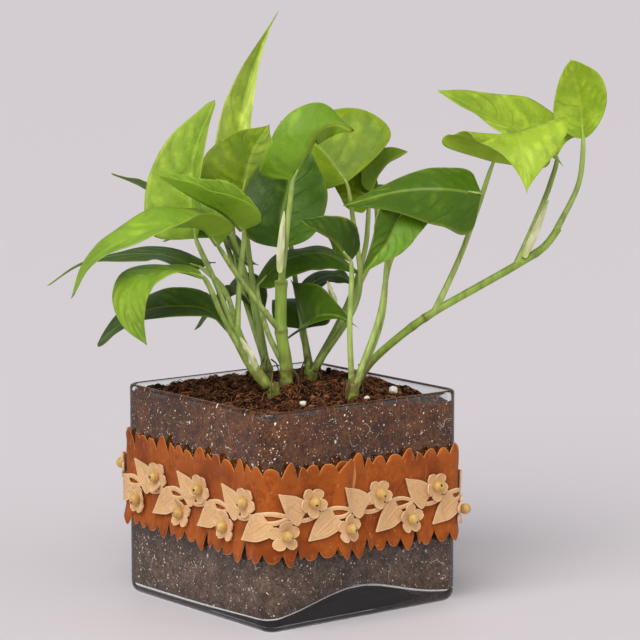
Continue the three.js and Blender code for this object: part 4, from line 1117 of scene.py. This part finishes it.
def make_shoots(settings):
    """Each shoot in one piece: a foot in the soil, the stem if it shows, the stalks and blades, the
    sheaths and the air roots."""
    tones = {key: getattr(settings, "leaf_" + key)[:] for key in LEAF_TONES}
    tones["sheath"] = settings.sheath[:]
    materials = [leaf_look(settings), stalk_look(settings), sheath_look(settings)]
    green = np.array(settings.stalk[:])
    pale = 0.5 * (green + np.array(settings.stalk_pale[:]))
    for shoot in SHOOTS:
        pile = Pile()
        foot = place([*shoot.root, 0])
        ground = soil_height(foot[0], foot[1])
        thick = shoot.thick
        path = [foot + (0, 0, z) for z in (ground - 6, ground, 94)]
        add_rod(pile, path, [thick, thick, thick * 0.85], green, (0.75,))
        if shoot.stem:
            add_rod(pile, place(shoot.stem), [thick - 0.25, thick - 0.35], green, shoot.nodes, 18)
        for leaf in shoot.leaves:
            rib = Curve(place(leaf.rib))
            inside = rib.at(np.array([0.0, 2.5, 6]) / rib.length)[0]
            add_rod(pile, np.vstack([place(leaf.stalk), inside]), STALK_RADII, pale)
            add_blade(pile, leaf, tones)
        for blade in shoot.sheaths:
            add_blade(pile, blade, tones, 2)
        add_air_roots(pile, foot, ground, thick, settings.root[:])
        piece = pile.build(shoot.name.replace("shoot", "leafy_shoot"), materials)
        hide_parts(shoot.name)


# ---- settings ----
def colour(name, words, value):
    limits = {"size": 3, "min": 0, "max": 1, "subtype": "COLOR"}
    return FloatVectorProperty(name=name, description=words, default=value, **limits)


def strength(name, words, value):
    return FloatProperty(name=name, description="Strength of the " + words, default=value, min=0)


def size(name, words, metres):
    limits = {"min": 0, "subtype": "DISTANCE", "unit": "LENGTH"}
    return FloatProperty(name=name, description=words, default=metres, **limits)


def number(name, words, value):
    return IntProperty(name=name, description="Number of " + words, default=value, min=0)


class PothosVaseSettings(bpy.types.PropertyGroup):
    glass_tint: colour("Glass", "Tint of the clear glass", (0.93, 0.975, 0.96))


class PothosSoilSettings(bpy.types.PropertyGroup):
    packed_dark: colour("Packed, dark", "Darker grains against the glass", (0.044, 0.022, 0.013))
    packed_light: colour("Packed, light", "Lighter grains against the glass", (0.185, 0.108, 0.074))
    upper_dark: colour("Upper, dark", "Darker grains near the top of the vase", (0.040, 0.009, 0.001))
    upper_light: colour("Upper, light", "Lighter grains near the top of the vase", (0.195, 0.062, 0.012))
    # painted shade for the hollows between the crumbs; also the colour of the darkest loose fibres
    hollow_shade_and_dark_fibre: colour("Top, dark", "Hollows between the crumbs on top", (0.006, 0.002, 0.001))
    coir: colour("Coir", "Reddish coir crumbs", (0.042, 0.010, 0.002))
    fibre: colour("Fibre", "Loose coir fibres", (0.52, 0.20, 0.075))
    perlite: colour("Perlite", "White perlite grains", (0.86, 0.80, 0.68))
    fibres: number("Fibres", "loose coir fibres on the soil", 2600)
    husks: number("Husks", "bits of husk on the soil", 1500)


class PothosBandSettings(bpy.types.PropertyGroup):
    suede: colour("Suede", "Ground colour of the band", (0.42, 0.098, 0.011))
    # also paints the shade along the band's creases
    suede_dark: colour("Suede, rubbed", "Darker rubbed patches", (0.22, 0.040, 0.004))
    suede_light: colour("Suede, brushed", "Paler brushed streaks", (0.56, 0.175, 0.035))
    suede_edge: colour("Suede, cut edge", "Pale line along the cut edges", (0.66, 0.26, 0.07))


class PothosLaceSettings(bpy.types.PropertyGroup):
    lace: colour("Lace", "Ground colour of the garland", (0.75, 0.46, 0.225))
    # also paints the shade along the garland's creases
    lace_dark: colour("Lace, rubbed", "Darker patches", (0.58, 0.32, 0.13))
    lace_light: colour("Lace, brushed", "Paler streaks", (0.84, 0.58, 0.33))
    lace_edge: colour("Lace, cut edge", "Pale line along the cut edges", (0.82, 0.58, 0.34))
    bead: colour("Bead", "Light grain of the beads", (0.66, 0.42, 0.13))
    bead_dark: colour("Bead, grain", "Dark grain of the beads", (0.50, 0.28, 0.07))
    bead_radius: size("Bead radius", "Half the width of a wooden bead", 2.3 * MM)


class PothosPlantSettings(bpy.types.PropertyGroup):
    __annotations__ = {"leaf_" + key: colour(key.title(), *tone) for key, tone in LEAF_TONES.items()}
    leaf_pale: colour("Veins", "Midrib and mottling", (0.50, 0.60, 0.085))
    leaf_shade: colour("Shade", "Dark clouding of the upper face", (0.03, 0.10, 0.004))
    leaf_under: colour("Underside", "Lower faces", (0.36, 0.54, 0.035))
    stalk: colour("Stalk", "Leaf stalks and stems", (0.32, 0.45, 0.065))
    stalk_pale: colour("Stalk, pale", "Pale side of the stalks", (0.52, 0.62, 0.20))
    stalk_dark: colour("Stalk, lines", "Lengthwise lines on the stalks", (0.085, 0.17, 0.012))
    node_brown: colour("Node", "Brown rings where leaves grew", (0.13, 0.07, 0.02))
    sheath: colour("Sheath", "Dry pale sheaths beside the stalks", (0.78, 0.76, 0.48))
    root: colour("Root", "Air roots at the foot of the stems", (0.10, 0.045, 0.018))


class PothosStageSettings(bpy.types.PropertyGroup):
    floor: colour("Floor", "Pale floor", (0.71, 0.665, 0.70))
    reach: size("Floor reach", "Half the width of the floor", 14.0)
    room: strength("Room light", "even light of the room", 0.33)
    key_power: strength("Key light", "soft light from above and in front", 2.7)
    fill_power: strength("Fill light", "soft light from the right", 0.5)


# ---- operators ----
class POTHOS_OT_vase(bpy.types.Operator):
    """Makes the clear glass vase with its uneven thick floor"""

    bl_idname = "pothos.vase"
    bl_label = "Glass Vase"

    def execute(self, context):
        make_vase(context.scene.pothos_vase)
        return {"FINISHED"}


class POTHOS_OT_soil(bpy.types.Operator):
    """Fills the vase with potting mix, coir fibres and perlite"""

    bl_idname = "pothos.soil"
    bl_label = "Soil"

    def execute(self, context):
        make_soil(context.scene.pothos_soil)
        make_perlite(context.scene.pothos_soil)
        return {"FINISHED"}


class POTHOS_OT_band(bpy.types.Operator):
    """Wraps the scalloped suede band round the vase"""

    bl_idname = "pothos.band"
    bl_label = "Suede Band"

    def execute(self, context):
        make_band(context.scene.pothos_band)
        return {"FINISHED"}


class POTHOS_OT_lace(bpy.types.Operator):
    """Lays the lace garland with its wooden beads on the band"""

    bl_idname = "pothos.lace"
    bl_label = "Garland and Beads"

    def execute(self, context):
        make_lace(context.scene.pothos_lace)
        make_beads(context.scene.pothos_lace)
        return {"FINISHED"}


class POTHOS_OT_plant(bpy.types.Operator):
    """Grows the six leafy shoots"""

    bl_idname = "pothos.plant"
    bl_label = "Leafy Shoots"

    def execute(self, context):
        make_shoots(context.scene.pothos_plant)
        return {"FINISHED"}


def add_sun(name, spot, power, tone, spread):
    """A soft light that shines from the spot towards the middle of the object."""
    data = bpy.data.lights.new(name, "SUN")
    data.energy, data.color, data.angle = power, tone, math.radians(spread)
    lamp = bpy.data.objects.new(name, data)
    lamp.location = Vector(place(spot) * MM)
    lamp.rotation_euler = (Vector(AIM) - lamp.location).to_track_quat("-Z", "Y").to_euler()
    bpy.context.scene.collection.objects.link(lamp)


def make_stage(settings):
    """The pale floor, the even light of the room, two soft suns and the camera of the photo."""
    scene = bpy.context.scene
    scene.view_settings.view_transform = "Standard"
    mesh = bpy.data.meshes.new("floor")
    reach = settings.reach
    corners = [(-reach, -reach, 0), (reach, -reach, 0), (reach, reach, 0), (-reach, reach, 0)]
    mesh.from_pydata(corners, [], [(0, 1, 2, 3)])
    floor = bpy.data.objects.new("floor", mesh)
    scene.collection.objects.link(floor)
    look = Nodes("pale_floor")
    mesh.materials.append(look.finish(Base_Color=settings.floor, Roughness=0.5, Specular_IOR_Level=0.2))
    world = bpy.data.worlds.new("soft_room")
    world.use_nodes = True
    back = world.node_tree.nodes["Background"]
    back.inputs["Color"].default_value = (0.96, 0.97, 1.0, 1)
    back.inputs["Strength"].default_value = settings.room
    scene.world = world
    add_sun("key", KEY_SPOT, settings.key_power, (1.0, 0.985, 0.96), KEY_SPREAD)
    add_sun("fill", FILL_SPOT, settings.fill_power, (1.0, 0.97, 0.95), FILL_SPREAD)
    data = bpy.data.cameras.new("photo_view")
    data.sensor_width, data.lens, data.clip_end = CAMERA_SENSOR, CAMERA_LENS, 100
    camera = bpy.data.objects.new("photo_view", data)
    camera.location = CAMERA_SPOT
    camera.rotation_euler = (math.pi / 2 - CAMERA_PITCH, 0, -CAMERA_YAW)
    scene.collection.objects.link(camera)
    scene.camera = camera


class POTHOS_OT_stage(bpy.types.Operator):
    """Adds the pale floor, the soft lights and the camera"""

    bl_idname = "pothos.stage"
    bl_label = "Stage"

    def execute(self, context):
        make_stage(context.scene.pothos_stage)
        return {"FINISHED"}


class POTHOS_PT_panel(bpy.types.Panel):
    """Lists the pieces of the potted pothos"""

    bl_idname = "POTHOS_PT_panel"
    bl_label = "Potted Pothos"
    bl_space_type = "VIEW_3D"
    bl_region_type = "UI"
    bl_category = "Pothos"

    def draw(self, context):
        for step in GROUPS:
            self.layout.operator("pothos." + step)
            settings = getattr(context.scene, "pothos_" + step)
            for key in type(settings).__annotations__:
                self.layout.prop(settings, key)


GROUPS = {
    "vase": PothosVaseSettings,
    "soil": PothosSoilSettings,
    "band": PothosBandSettings,
    "lace": PothosLaceSettings,
    "plant": PothosPlantSettings,
    "stage": PothosStageSettings,
}
OPERATORS = (
    POTHOS_OT_vase,
    POTHOS_OT_soil,
    POTHOS_OT_band,
    POTHOS_OT_lace,
    POTHOS_OT_plant,
    POTHOS_OT_stage,
)


def register():
    for made in (*GROUPS.values(), *OPERATORS, POTHOS_PT_panel):
        bpy.utils.register_class(made)
    for key, group in GROUPS.items():
        setattr(bpy.types.Scene, "pothos_" + key, PointerProperty(type=group))


def unregister():
    for key in GROUPS:
        delattr(bpy.types.Scene, "pothos_" + key)
    for made in (POTHOS_PT_panel, *reversed(OPERATORS), *reversed(GROUPS.values())):
        bpy.utils.unregister_class(made)


def main():
    register()
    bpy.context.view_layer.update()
    for step in GROUPS:
        getattr(bpy.ops.pothos, step)()


if __name__ == "__main__":
    main()
